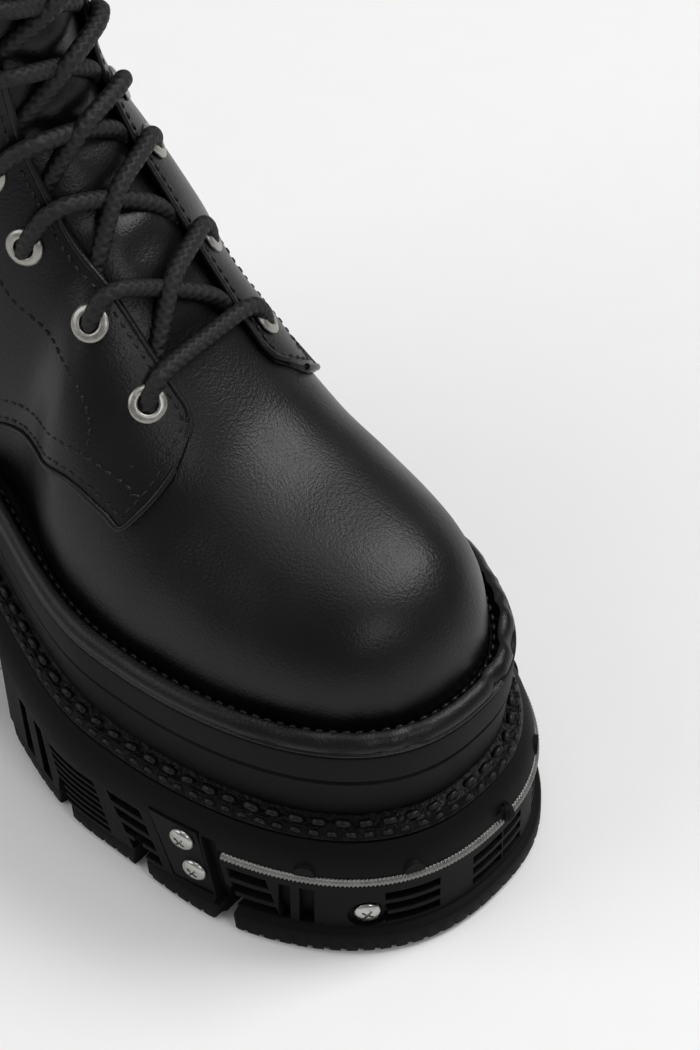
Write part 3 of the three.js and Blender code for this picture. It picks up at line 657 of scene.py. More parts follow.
def turned(profile, sides, position, axis):
    """A profile of (radius, height) turned about an axis. It starts and ends on the axis."""
    to_axis = Vector((0, 0, 1)).rotation_difference(axis).to_matrix()
    points, faces = [], []
    rows = profile[1:-1]
    for radius, height in rows:
        for k in range(sides):
            turn = 2 * math.pi * k / sides
            spot = Vector((radius * math.cos(turn), radius * math.sin(turn), height))
            points.append(position + to_axis @ spot)
    for row in range(len(rows) - 1):
        for k in range(sides):
            a, b = row * sides + k, row * sides + (k + 1) % sides
            faces.append((a, b, b + sides, a + sides))
    low, high = len(points), len(points) + 1
    points.append(position + to_axis @ Vector((0, 0, profile[0][1])))
    points.append(position + to_axis @ Vector((0, 0, profile[-1][1])))
    top = (len(rows) - 1) * sides
    for k in range(sides):
        faces.append((low, (k + 1) % sides, k))
        faces.append((high, top + k, top + (k + 1) % sides))
    return points, faces


def turned_ring(profile, sides, position, axis):
    """A closed profile of (radius, height) turned about an axis it doesn't touch."""
    to_axis = Vector((0, 0, 1)).rotation_difference(axis).to_matrix()
    rings = []
    for k in range(sides):
        turn = 2 * math.pi * k / sides
        rings.append([position + to_axis @ Vector((radius * math.cos(turn), radius * math.sin(turn), height))
                      for radius, height in profile])
    return ring_loft(rings)


def wall_frame(side, x, inset, z):
    """A spot on the side of the sole and the way out of it."""
    ahead = plan_point(side, x + 1, inset, z) - plan_point(side, x - 1, inset, z)
    return plan_point(side, x, inset, z), (Vector((-ahead.y, ahead.x, 0)) * SIDES[side][0]).normalized()


# Outsole

TOE_PANELS = [
    # from, to, low, high, slots
    (0, 0.11, 11, 24, 3), (0.24, 0.44, 11, 24, 3), (0.68, 0.73, 10, 25, 1), (0.76, 0.8, 10, 25, 1),
]
LUG_PANELS = [
    # lowFrom, lowTo, highFrom, highTo, low, high, slots
    (2, 14, -1, 10, 10, 25, 3), (-4, 0.5, -8.8, -4.3, 8, 34, 1), (-33, -22, -41, -29, 10, 31, 4),
    (-60, -41, -65, -46, 10, 30, 7), (-71, -66, -73, -69, 10, 32, 1), (-81, -76, -82, -78, 10, 32, 1),
    (-172, -158, -172, -158, 12, 38, 5), (-204, -190, -204, -190, 12, 38, 5),
]
PLATE_FACE = (-18, -5.5, -25.5, -10, 10, 34.5)
PLATE_SCREWS = {"upper": (-14.5, 29.3), "lower": (-11, 17.5)}
PANEL_DEPTH = 2.4
PLATE_THICKNESS = 2.0
SCREW_DIAMETER = 7.6
GROOVE_RADIUS = 2.05
TAB_SHARES = (0.02, 0.36, 0.72)
TREAD_PITCH = 6.1
CLEAT_PITCH = 4.7


def slot_levels(low, high, slots):
    if slots == 1:
        return [(low, high)]
    pitch = (high - low) / (slots - 1 / 3)
    return [(low + i * pitch, low + (i + 2 / 3) * pitch) for i in range(slots)]


def side_block(side, face, steps, outer_inset, inner_inset):
    low_from, low_to, high_from, high_to, low, high = face
    loops = []
    for i in range(steps + 1):
        low_x = low_from + (low_to - low_from) * i / steps
        high_x = high_from + (high_to - high_from) * i / steps
        loops.append([plan_point(side, low_x, outer_inset, low), plan_point(side, high_x, outer_inset, high),
                      plan_point(side, high_x, inner_inset, high), plan_point(side, low_x, inner_inset, low)])
    return loft(loops)


def toe_block(side, start, stop, outer_inset, inner_inset, low, high):
    def spot(share, inset, z):
        x = SPRING_REACH + (SOLE_LENGTH / 2 - inset - SPRING_REACH) * math.cos(share * math.pi / 2)
        return plan_point(side, x, inset, z)
    loops = []
    for i in range(5):
        share = start + (stop - start) * i / 4
        loops.append([spot(share, outer_inset, low), spot(share, outer_inset, high),
                      spot(share, inner_inset, high), spot(share, inner_inset, low)])
    return loft(loops)


def panel_slice(panel, low, high):
    low_from, low_to, high_from, high_to, bottom, top = panel[:6]

    def blend(a, b, z):
        return FRONT_SLOT + a + (b - a) * (z - bottom) / (top - bottom)
    return (blend(low_from, high_from, low), blend(low_to, high_to, low),
            blend(low_from, high_from, high), blend(low_to, high_to, high), low, high)


def plate_corners(grow):
    a, b, c, d, low, high = PLATE_FACE
    return (FRONT_SLOT + a - grow, FRONT_SLOT + b + grow, FRONT_SLOT + c - grow, FRONT_SLOT + d + grow,
            low - grow, high + grow)


def lug_stations():
    front, rear = ARCH_MIDDLE + ARCH_LENGTH / 2, ARCH_MIDDLE - ARCH_LENGTH / 2
    made = []
    x = FRONT_SLOT
    while x > front + LUG_PITCH / 2:
        made.append(x)
        x -= LUG_PITCH
    x = rear - LUG_PITCH
    while x > -SOLE_LENGTH / 2 + LUG_PITCH / 2:
        made.append(x)
        x -= LUG_PITCH
    return made


def draft(x):
    """How far the lower edge of the outsole is drawn in at x. It stands proudest under the toe."""
    front, rear = station_at(0.845), station_at(0.172)
    return LOWER_EDGE * (smooth((front - x) / (front - station_at(0.672)))
                         - smooth((rear - x) / (rear - station_at(0.017))))


def tread_notches():
    """Notches between the small cleats of the tread, all round the lower edge."""
    parts = []
    edge = plan_loop(draft, 0)
    line = resample(edge + edge[:1], CLEAT_PITCH)
    for number, (before, spot, after) in enumerate(zip(line, line[1:], line[2:])):
        along = (after - before).normalized()
        inward = Vector((-along.y, along.x, 0))
        top = 3.0 + 1.0 * noise.noise(Vector((number * 0.7, 0.4, 0.2)))
        corners = ((-3, 1.1, -1), (-3, 0.8, top), (4.5, 0.6, top - 0.8), (4.5, 0.9, -1))
        loops = [[spot + inward * reach + along * wide * sign + Vector((0, 0, z))
                  for reach, wide, z in corners] for sign in (-1, 1)]
        parts.append(loft(loops))
    return join(parts)


def outsole_body():
    rows = [
        (lambda x: 1.6 + draft(x), 0), (lambda x: 0.6 + draft(x), 0.5), (draft, 2),
        (lambda x: 0.2 + draft(x), SHELF_HEIGHT - 1.6), (lambda x: 0.6 + draft(x), SHELF_HEIGHT - 0.9),
        (lambda x: 2.3 + 0.3 * draft(x), SHELF_HEIGHT), (WALL_INSET, raised(31)), (3.3, raised(33.5)),
        (4.1, raised(36.6)), (5.4, raised(39.4)), (OUTSOLE_INSET, raised(OUTSOLE_HEIGHT)),
    ]
    return loft([plan_loop(inset, height) for inset, height in rows])


class BOOT_OT_outsole(bpy.types.Operator):
    """Lugged outsole with its panels, slots, tread notches and waist"""
    bl_idname = "boot.outsole"
    bl_label = "Outsole"

    def execute(self, context):
        body = working_object("outsole_rubber", outsole_body())
        front, rear = ARCH_MIDDLE + ARCH_LENGTH / 2, ARCH_MIDDLE - ARCH_LENGTH / 2
        arch = prism([(front + 3, -1), (front, 7), (front, ARCH_HEIGHT - 4), (front - 4, ARCH_HEIGHT),
                      (rear + 6, ARCH_HEIGHT + 2), (rear, ARCH_HEIGHT - 5), (rear, 7), (rear - 3, -1)],
                     -BALL_WIDTH, BALL_WIDTH)
        wall_floor = WALL_INSET + PANEL_DEPTH
        panels, seats, pockets, slots, tabs = [], [], [], [], []
        for side, facts in SIDES.items():
            for start, stop, low, high, count in TOE_PANELS:
                for level in slot_levels(low, high, count):
                    panels.append(toe_block(side, max(start, 0.001), stop, -2, wall_floor, *level))
            for panel in LUG_PANELS:
                for level in slot_levels(panel[4], panel[5], panel[6]):
                    panels.append(side_block(side, panel_slice(panel, *level), 3, -6, wall_floor))
            seats.append(side_block(side, plate_corners(0.4), 6, -8,
                                    WALL_INSET + PLATE_THICKNESS + CLEARANCE))
            spot, outward = wall_frame(side, TOE_SCREW_STATION, WALL_INSET + 1, TOE_SCREW_HEIGHT)
            pockets.append(turned([(0, 0), (5.5, 0), (6.1, 12), (0, 12)], 32, spot, outward))
            for x in lug_stations():
                inner = half_width(side, x, 12)
                low_y, high_y = sorted(TOE_AXIS + facts[0] * reach for reach in (inner, BALL_WIDTH * 0.6))
                slots.append(prism([(x - 3.5, -1), (x + 3.5, -1), (x + 1.2, 17), (x - 1.2, 17)],
                                   low_y, high_y))
            for share in TAB_SHARES:
                x = SPRING_REACH + (SOLE_LENGTH / 2 - 3 - SPRING_REACH) * math.cos(share * math.pi / 2)
                spot, outward = wall_frame(side, x, WALL_INSET + 1.0, SPRING_LEVEL + 2.8)
                tabs.append(turned([(0, 0), (3.1, 0), (2.8, 1.5), (0, 1.5)], 24, spot, outward))
        channels = [prism([(x - 2.3, -1), (x + 2.3, -1), (x + 1.7, 4), (x - 1.7, 4)], -BALL_WIDTH, BALL_WIDTH)
                    for x in lug_stations()]
        treads = []
        for i in range(-23, 24):
            x = i * TREAD_PITCH
            if abs(x - ARCH_MIDDLE) < ARCH_LENGTH / 2 + 3:
                continue
            treads.append(prism([(x - 0.8, -1), (x + 0.8, -1), (x + 0.6, 1.7), (x - 0.6, 1.7)],
                                TOE_AXIS - half_width("inner", x, 10), TOE_AXIS + half_width("outer", x, 10)))
        groove = swept(toe_run(SPRING_REACH - 1, 120, SPRING_INSET, SPRING_LEVEL), GROOVE_RADIUS, 12)
        steps = [("DIFFERENCE", arch), ("DIFFERENCE", join(panels)), ("UNION", join(tabs))]
        steps += [("DIFFERENCE", part) for part in (groove, join(seats), join(pockets), join(slots),
                                                    join(channels), join(treads), tread_notches())]
        cut(body, steps)
        finish_piece(body, MATERIALS["outsole"], ["outsole"])
        return {"FINISHED"}


def band(name, rows, material, node):
    made = working_object(name, loft([plan_loop(inset, height) for inset, height in rows]))
    finish_piece(made, material, [node])


def seam_wander(x):
    """The slight unevenness of a seam that was cemented by hand."""
    return 0.25 * noise.noise(Vector((x / 18, 0.3, 0.7)))


class BOOT_OT_midsole(bpy.types.Operator):
    """Stitched ledge and the two plain bands above it"""
    bl_idname = "boot.midsole"
    bl_label = "Midsole and Ledge"

    def execute(self, context):
        top = LEDGE_LEVEL + LEDGE_HEIGHT
        band("ledge_rubber", [
            (OUTSOLE_INSET + 0.9, raised(LEDGE_LEVEL)), (OUTSOLE_INSET, raised(LEDGE_LEVEL + 0.7)),
            (OUTSOLE_INSET + 0.5, raised(LEDGE_LEVEL + 1.9)), (OUTSOLE_INSET + 1.7, raised(top - 1.2)),
            (LEDGE_INSET - 0.6, raised(top - 0.8)), (LEDGE_INSET + 0.6, raised(top)),
        ], MATERIALS["ledge"], "stitch_ledge")
        band("midsole_lower_band", [
            (LEDGE_INSET + 0.8, raised(BAND_LEVEL)), (LEDGE_INSET, raised(BAND_LEVEL + 0.8)),
            (BAND_INSET + 0.9, raised(BAND_SPLIT - 5)), (BAND_INSET + 0.4, raised(BAND_SPLIT - 0.8)),
            (BAND_INSET + 1.1, lambda x: BAND_SPLIT + lift(x) + seam_wander(x)),
        ], MATERIALS["midsole"], "midsole_lower")
        band("midsole_upper_band", [
            (BAND_INSET + 0.9, lambda x: BAND_SPLIT + 0.3 + lift(x) + seam_wander(x)),
            (BAND_INSET + 0.1, raised(BAND_SPLIT + 1.2)), (BAND_INSET, raised(BAND_TOP - 2)),
            (BAND_INSET + 0.2, raised(BAND_TOP - 0.6)), (BAND_INSET + 0.9, raised(BAND_TOP)),
        ], MATERIALS["midsole"], "midsole_upper")
        return {"FINISHED"}


class BOOT_OT_welt(bpy.types.Operator):
    """Covered welt: a soft leather roll, gathered round the corner of the toe, with its bead"""
    bl_idname = "boot.welt"
    bl_label = "Welt"

    def execute(self, context):
        bead = [(0.7, 0.0), (-0.1, 0.06), (-0.25, 0.17), (0.25, 0.24)]
        roll = [(0.0, 0.36), (0.4, 0.58), (1.4, 0.82), (2.8, 0.97), (3.9, 0.96)]
        gutter = [(-2.6, 0.78), (-1.5, 0.5), (-1.2, 0.3), (1.5, 0.25), (1.5, 0.0)]
        profile = [(BAND_INSET + inset, rise) for inset, rise in bead + roll]
        profile += [(FEATHER_INSET + inset, rise) for inset, rise in gutter]
        rows = [plan_loop(inset, raised(FEATHER_LEVEL + rise * WELT_HEIGHT)) for inset, rise in profile]
        for row in rows[len(bead):len(bead) + len(roll)]:
            for point in row:
                outward = Vector((point.x - 60, point.y, 0)).normalized()
                around = math.atan2(point.y - TOE_AXIS, point.x - 60)
                gather = smooth((point.x - 75) / 45)
                pleat = noise.noise(Vector((around * 13, 0.2, 1.7)))
                fold = -max(0.0, pleat) ** 0.7 * 1.7 * gather
                swell = 0.3 * noise.noise(Vector((around * 4, point.x / 40, 3.1)))
                point += outward * (fold + swell * 0.5) + Vector((0, 0, fold * 0.6 + swell * 0.6))
        made = working_object("welt_leather", ring_loft([list(ring) for ring in zip(*rows)]))
        cut(made, [("DIFFERENCE", boot_form(CLEARANCE, False))])
        finish_piece(made, MATERIALS["leather"], ["welt"], 50)
        return {"FINISHED"}


# Upper, facings, tongue and insole

def form_places(extra):
    places = []
    place = 0.0
    last = COLLAR_ROW + (1 if extra else 0)
    while place < last - 1e-6:
        places.append(place)
        place += 0.1 if place < 1 else 0.16
    places.append(float(last))
    return places


def leather_swell(point, scale):
    """Slight unevenness of leather pulled over a last, with soft creases where the foot bends."""
    broad = noise.noise(point / 34) * 0.35 + noise.noise(point / 13) * 0.14
    bend = math.exp(-((point.x - 18 - 0.25 * (point.z - 110)) / 24) ** 2) * smooth((150 - point.z) / 30)
    along = (point.x + 0.42 * point.z + 5 * noise.noise(point / 30)) / 5.2
    crease = -0.42 * bend * abs(math.sin(along)) ** 3 * (0.45 + noise.noise(point / 17))
    return (broad + crease) * scale


def boot_form(offset, extra, swell=0.0):
    loops = []
    for place in form_places(extra):
        section = section_at(place)
        loop = []
        for i in range(FORM_SIDES):
            point = section_point(section, 2 * math.pi * i / FORM_SIDES, offset)
            if swell:
                grown = section_point(section, 2 * math.pi * i / FORM_SIDES, offset + 1)
                point = point + (grown - point) * leather_swell(point, swell)
            loop.append(point)
        loops.append(loop)
    return loft(loops)


def plan_slab(level):
    return loft([plan_loop(-20, 0), plan_loop(-20, raised(level))])


def throat_share(start, place, flare):
    """How wide the throat is at a place, as a share of its width higher up."""
    marks = ((0.0, 1.0), (0.15, 0.42), (0.3, 0.09), (0.55, 0.0))
    reach = place - start
    for (a, high), (b, low) in zip(marks, marks[1:]):
        if reach < b:
            t = max(0.0, (reach - a) / (b - a))
            return 1 + flare * (high + (low - high) * smooth(t) * 0.5 + (low - high) * t * 0.5)
    return 1.0


def throat_cut(start, half_gap, flare, crown=0.0):
    places = [start + 0.05 * i for i in range(12)]
    place = math.ceil(start + 1)
    while place < COLLAR_ROW:
        places.append(place)
        place += 0.5
    places += [COLLAR_ROW + 0.1 * i for i in range(11)]
    rows = []
    for place in places:
        top = max(0.0, place - COLLAR_ROW - 0.2) / 0.8
        drawn_in = crown * (1 - math.sqrt(max(0.0, 1 - top ** 2)))
        rows.append((place, throat_share(start, place, flare) - drawn_in))
    loops = []
    for place, share in rows:
        top_x, top_z, low_x, low_z = section_at(place)[:4]
        centre = section_at(place)[10]
        half = half_gap * share
        corners = ((0.72, -half), (1.2, -half), (1.2, half), (0.72, half))
        loops.append([Vector((low_x + (top_x - low_x) * reach, centre + y, low_z + (top_z - low_z) * reach))
                      for reach, y in corners])
    return loft(loops)


def quarter_region(sign):
    edge = [Vector((x, z, 0)) for x, z in QUARTER_EDGE]
    fine = [edge[0]] + spline(edge[1:], 5)
    outline = [(-0.1, -0.1), (-0.1, 1.4)] + [(point.x, point.y) for point in fine]
    outline = [(station_at(x), FEATHER_LEVEL + z * UPPER_RISE) for x, z in outline]
    if sign < 0:
        return prism(outline, -BALL_WIDTH, THROAT_AXIS - CLEARANCE / 2)
    return prism(outline, THROAT_AXIS + CLEARANCE / 2, BALL_WIDTH)


class BOOT_OT_upper(bpy.types.Operator):
    """Hollow leather upper: vamp, toe and the layer under the facings"""
    bl_idname = "boot.upper"
    bl_label = "Upper"

    def execute(self, context):
        made = working_object("upper_leather", boot_form(0, False, 1.0))
        cut(made, [("DIFFERENCE", boot_form(-WALL, True)),
                   ("DIFFERENCE", throat_cut(VAMP_THROAT, THROAT_HALF_GAP + 0.5, 0)),
                   ("DIFFERENCE", plan_slab(FEATHER_LEVEL))])
        finish_piece(made, MATERIALS["leather"], ["upper"], 40)
        made.data.materials.append(MATERIALS["lining"])
        middle = mesh_of("middle_of_wall", boot_form(-WALL / 2, True))
        tree = BVHTree.FromPolygons([vertex.co for vertex in middle.vertices],
                                    [tuple(face.vertices) for face in middle.polygons])
        bpy.data.meshes.remove(middle)
        for face in made.data.polygons:
            near, normal, _, _ = tree.find_nearest(face.center)
            if (face.center - near).dot(normal) < -0.4 * WALL * MM:
                face.material_index = 1
        return {"FINISHED"}


class BOOT_OT_facings(bpy.types.Operator):
    """Quarters with their facings, one on each side of the throat"""
    bl_idname = "boot.facings"
    bl_label = "Quarters and Facings"

    def execute(self, context):
        for side, facts in SIDES.items():
            made = working_object(f"quarter_leather_{side}", boot_form(CLEARANCE + QUARTER, False, 1.0))
            cut(made, [("DIFFERENCE", boot_form(CLEARANCE, True, 1.0)),
                       ("INTERSECT", quarter_region(facts[0])),
                       ("DIFFERENCE", throat_cut(FACING_THROAT, THROAT_HALF_GAP, 1)),
                       ("DIFFERENCE", plan_slab(FEATHER_LEVEL + WELT_HEIGHT + 2 * CLEARANCE))])
            finish_piece(made, MATERIALS["leather"], [f"quarter_{side}"], 40)
        return {"FINISHED"}


def tongue_puff(point):
    """Padding that swells between the crossings of the lace."""
    flat = Vector((point.x, 0, point.z))
    nearest = min((surface_point(place, 0, 0) - flat).length for place in CROSSINGS)
    share = max(0.0, 1 - (abs(point.y - THROAT_AXIS) / 19) ** 2)
    share *= (smooth((surface_point(VAMP_THROAT, 0, 0).x - 2.5 - point.x) / 7)
              * smooth((COLLAR_HEIGHT + 2 - point.z) / 25))
    return (3.4 * smooth(nearest / 10.5) - 0.4) * share + 0.9 * noise.noise(point / 8) * share


# Seams of the inner side as points on the leather; the outer side mirrors them
STAY_SEAM = [Vector(point) for point in (
    (-36, -25.5, 262), (-33, -25.5, 232), (-29, -25.3, 205), (-20, -25, 178), (-6.1, -24.8, 158.3),
    (0, -24.4, 152.8), (11.6, -25.8, 148.5), (22.3, -28.3, 144.4), (28.5, -30.7, 137.6),
    (30, -33.7, 131.8), (28.2, -36.4, 127.2))]
BAR_TACK = [Vector((41.4, -29.7, 128.7)), Vector((48.4, -26.9, 125.6))]
CROSSINGS = [EYELET_PLACES[0]] + [a + (b - a) * 0.62 for a, b in zip(EYELET_PLACES, EYELET_PLACES[1:])]


class BOOT_OT_tongue(bpy.types.Operator):
    """Padded leather tongue that swells between the laces"""
    bl_idname = "boot.tongue"
    bl_label = "Tongue"

    def execute(self, context):
        depth = WALL + CLEARANCE
        made = working_object("tongue_leather", boot_form(-depth, True))
        cut(made, [("DIFFERENCE", boot_form(-depth - TONGUE, True)),
                   ("INTERSECT", throat_cut(TONGUE_FOOT, THROAT_HALF_GAP + UNDER_LAP, 0, TONGUE_CROWN))])
        normals = [tuple(vertex.normal) for vertex in made.data.vertices]
        for vertex, normal in zip(made.data.vertices, normals):
            point = vertex.co / MM
            outward = Vector(normal)
            if outward.x * 0.6 + outward.z * 0.5 < 0.35:
                continue
            vertex.co = (point + outward * tongue_puff(point)) * MM
        finish_piece(made, MATERIALS["leather"], ["tongue"], 50)
        return {"FINISHED"}


class BOOT_OT_insole(bpy.types.Operator):
    """Insole inside the upper"""
    bl_idname = "boot.insole"
    bl_label = "Insole"

    def execute(self, context):
        carry_over(["insole"], MATERIALS["leather"])
        return {"FINISHED"}


# Metal parts and laces

COIL_PITCH = 1.15
COIL_RADIUS = 1.65
BRAID_PITCH = 2.6
# Radius and height of the rolled ring over the leather
EYELET_PROFILE = [(2.6, -0.3), (2.6, 0.7), (2.85, 1.05), (3.4, 1.15), (4.4, 0.9), (5.0, 0.55), (5.2, 0.15),
                  (5.1, -0.3)]


class BOOT_OT_eyelets(bpy.types.Operator):
    """Rolled metal eyelets, and in each eyelet's hole a thin dark disc as painted shade"""
    bl_idname = "boot.eyelets"
    bl_label = "Eyelets"

    def execute(self, context):
        rings, hole_shade_discs = [], []
        for sign in (-1, 1):
            for place in EYELET_PLACES:
                axis = surface_normal(place, sign * EYELET_ACROSS)
                seat = surface_point(place, sign * EYELET_ACROSS, CLEARANCE + QUARTER + 0.1)
                rings.append(turned_ring(EYELET_PROFILE, 40, seat, axis))
                # A thin dark disc across each eyelet's hole: painted shade, since the facing has no hole cut in
                # it
                hole_shade_discs.append(turned([(0, 0), (2.9, 0), (2.9, 0.25), (0, 0.25)], 24, seat, axis))
        nodes = [f"eyelet_{side}_{i + 1}" for side in SIDES for i in range(len(EYELET_PLACES))]
        finish_piece(working_object("eyelet_rings", join(rings)), MATERIALS["nickel"], nodes, 60)
        # The painted-shade discs take the black of the midsole rubber
        finish_piece(working_object("eyelet_hole_painted_shade", join(hole_shade_discs)), MATERIALS["midsole"])
        return {"FINISHED"}


def braid(distance, turn):
    """Radius of a round sixteen-strand braid: two sets of strands that pass over and under each other."""
    left = math.cos(4 * turn + 2 * math.pi * distance / BRAID_PITCH)
    right = math.cos(4 * turn - 2 * math.pi * distance / BRAID_PITCH)
    return 0.94 + 0.12 * max(left, right)


class BOOT_OT_laces(bpy.types.Operator):
    """Waxed round lace: the lowest bar and seven crossings, run into the eyelets"""
    bl_idname = "boot.laces"
    bl_label = "Laces"

    def execute(self, context):
        radius = context.scene.boot_sizes.lace_diameter / MM / 2
        over_eyelet = CLEARANCE + QUARTER + 1.2 + radius
        over_edge = 3 * CLEARANCE + QUARTER + radius
        strands = {}
        for i, (start, stop) in enumerate(zip(EYELET_PLACES, EYELET_PLACES[1:])):
            parts = []
            for sign, middle in ((-1, radius - 1.1), (1, radius + 2.6)):
                def at(share, across, offset):
                    return surface_point(start + (stop - start) * share, across, offset)
                points = [
                    at(0.26, -sign * (THROAT_HALF_GAP + 0.5), -2.2),
                    at(0.38, -sign * (THROAT_HALF_GAP - 4.5), radius - 1.8),
                    at(0.62, 0, middle),
                    at(0.84, sign * (THROAT_HALF_GAP - 1.5), over_edge + 0.3),
                    at(0.95, sign * (EYELET_ACROSS - 4.6), over_eyelet),
                    at(0.98, sign * (EYELET_ACROSS - 2.2), over_eyelet - 1.1),
                    at(1.0, sign * (EYELET_ACROSS - 0.6), 3.0),
                    at(1.0, sign * (EYELET_ACROSS + 0.1), 1.0),
                ]
                parts.append(self.strand(points, radius))
            strands[f"lace_cross_{i + 1}"] = join(parts)
        place = EYELET_PLACES[0]
        marks = [(-EYELET_ACROSS - 0.1, 1.0), (-EYELET_ACROSS + 0.6, 3.0),
                 (-EYELET_ACROSS + 2.2, over_eyelet - 1.1), (-EYELET_ACROSS + 4.6, over_eyelet),
                 (-THROAT_HALF_GAP + 2, over_edge), (0, over_edge - 1.2)]
        marks += [(-across, offset) for across, offset in reversed(marks[:-1])]
        strands["lace_bar"] = self.strand([surface_point(place, *mark) for mark in marks], radius)
        for node, part in strands.items():
            finish_piece(working_object(f"{node}_braid", part), MATERIALS["cord"], [node], 80)
        return {"FINISHED"}

    def strand(self, points, radius):
        line = resample(spline(points, 24), 0.4)
        return swept(line, radius * 0.97, 24, braid)


class BOOT_OT_spring(bpy.types.Operator):
    """Close-wound steel coil in the groove round the toe"""
    bl_idname = "boot.spring"
    bl_label = "Toe Spring"

    def execute(self, context):
        line = resample(toe_run(SPRING_REACH, 400, SPRING_INSET, SPRING_LEVEL), COIL_PITCH / 5)

        def coil(distance, turn):
            return 0.72 + 0.28 * abs(math.sin(math.pi * distance / COIL_PITCH + turn / 2))
        made = working_object("toe_spring_coil", swept(line, COIL_RADIUS, 14, coil))
        finish_piece(made, MATERIALS["spring"], ["toe_spring"], 80)
        return {"FINISHED"}


class BOOT_OT_sole_metal(bpy.types.Operator):
    """Side plates, their screws, the toe screws and the waist tube"""
    bl_idname = "boot.sole_metal"
    bl_label = "Plates, Screws and Tube"

    def execute(self, context):
        for side in SIDES:
            plate = working_object(f"side_plate_{side}_moulding", side_block(
                side, plate_corners(0), 10, WALL_INSET, WALL_INSET + PLATE_THICKNESS))
            finish_piece(plate, MATERIALS["midsole"], [f"side_plate_{side}"])
            spots = {f"screw_{level}_{side}": wall_frame(side, FRONT_SLOT + station, WALL_INSET, height)
                     for level, (station, height) in PLATE_SCREWS.items()}
            spots[f"screw_toe_{side}"] = wall_frame(side, TOE_SCREW_STATION, WALL_INSET + 1,
                                                    TOE_SCREW_HEIGHT)
            for node, (spot, outward) in spots.items():
                radius = SCREW_DIAMETER / 2
                profile = [(0, 0.1), (radius, 0.1), (radius, 0.7), (radius - 0.3, 1.1),
                           (radius * 0.75, 1.5), (radius * 0.4, 1.8), (0, 1.9)]
                head = turned(profile, 36, spot, outward)
                made = working_object(f"{node}_head", head)
                across = outward.cross(Vector((0, 0, 1))).normalized()
                bits = []
                for turn in (0.6, 0.6 + math.pi / 2):
                    way = across * math.cos(turn) + Vector((0, 0, 1)) * math.sin(turn)
                    flat = outward.cross(way)
                    loops = [[spot + way * reach + flat * wide + outward * height for wide, height in
                              ((-0.4, 1.1), (0.4, 1.1), (0.4, 3), (-0.4, 3))] for reach in (-1.9, 1.9)]
                    bits.append(("DIFFERENCE", loft(loops)))
                cut(made, bits)
                finish_piece(made, MATERIALS["steel"], [node], 40)
        carry_over(["waist_tube"], MATERIALS["steel"])
        return {"FINISHED"}


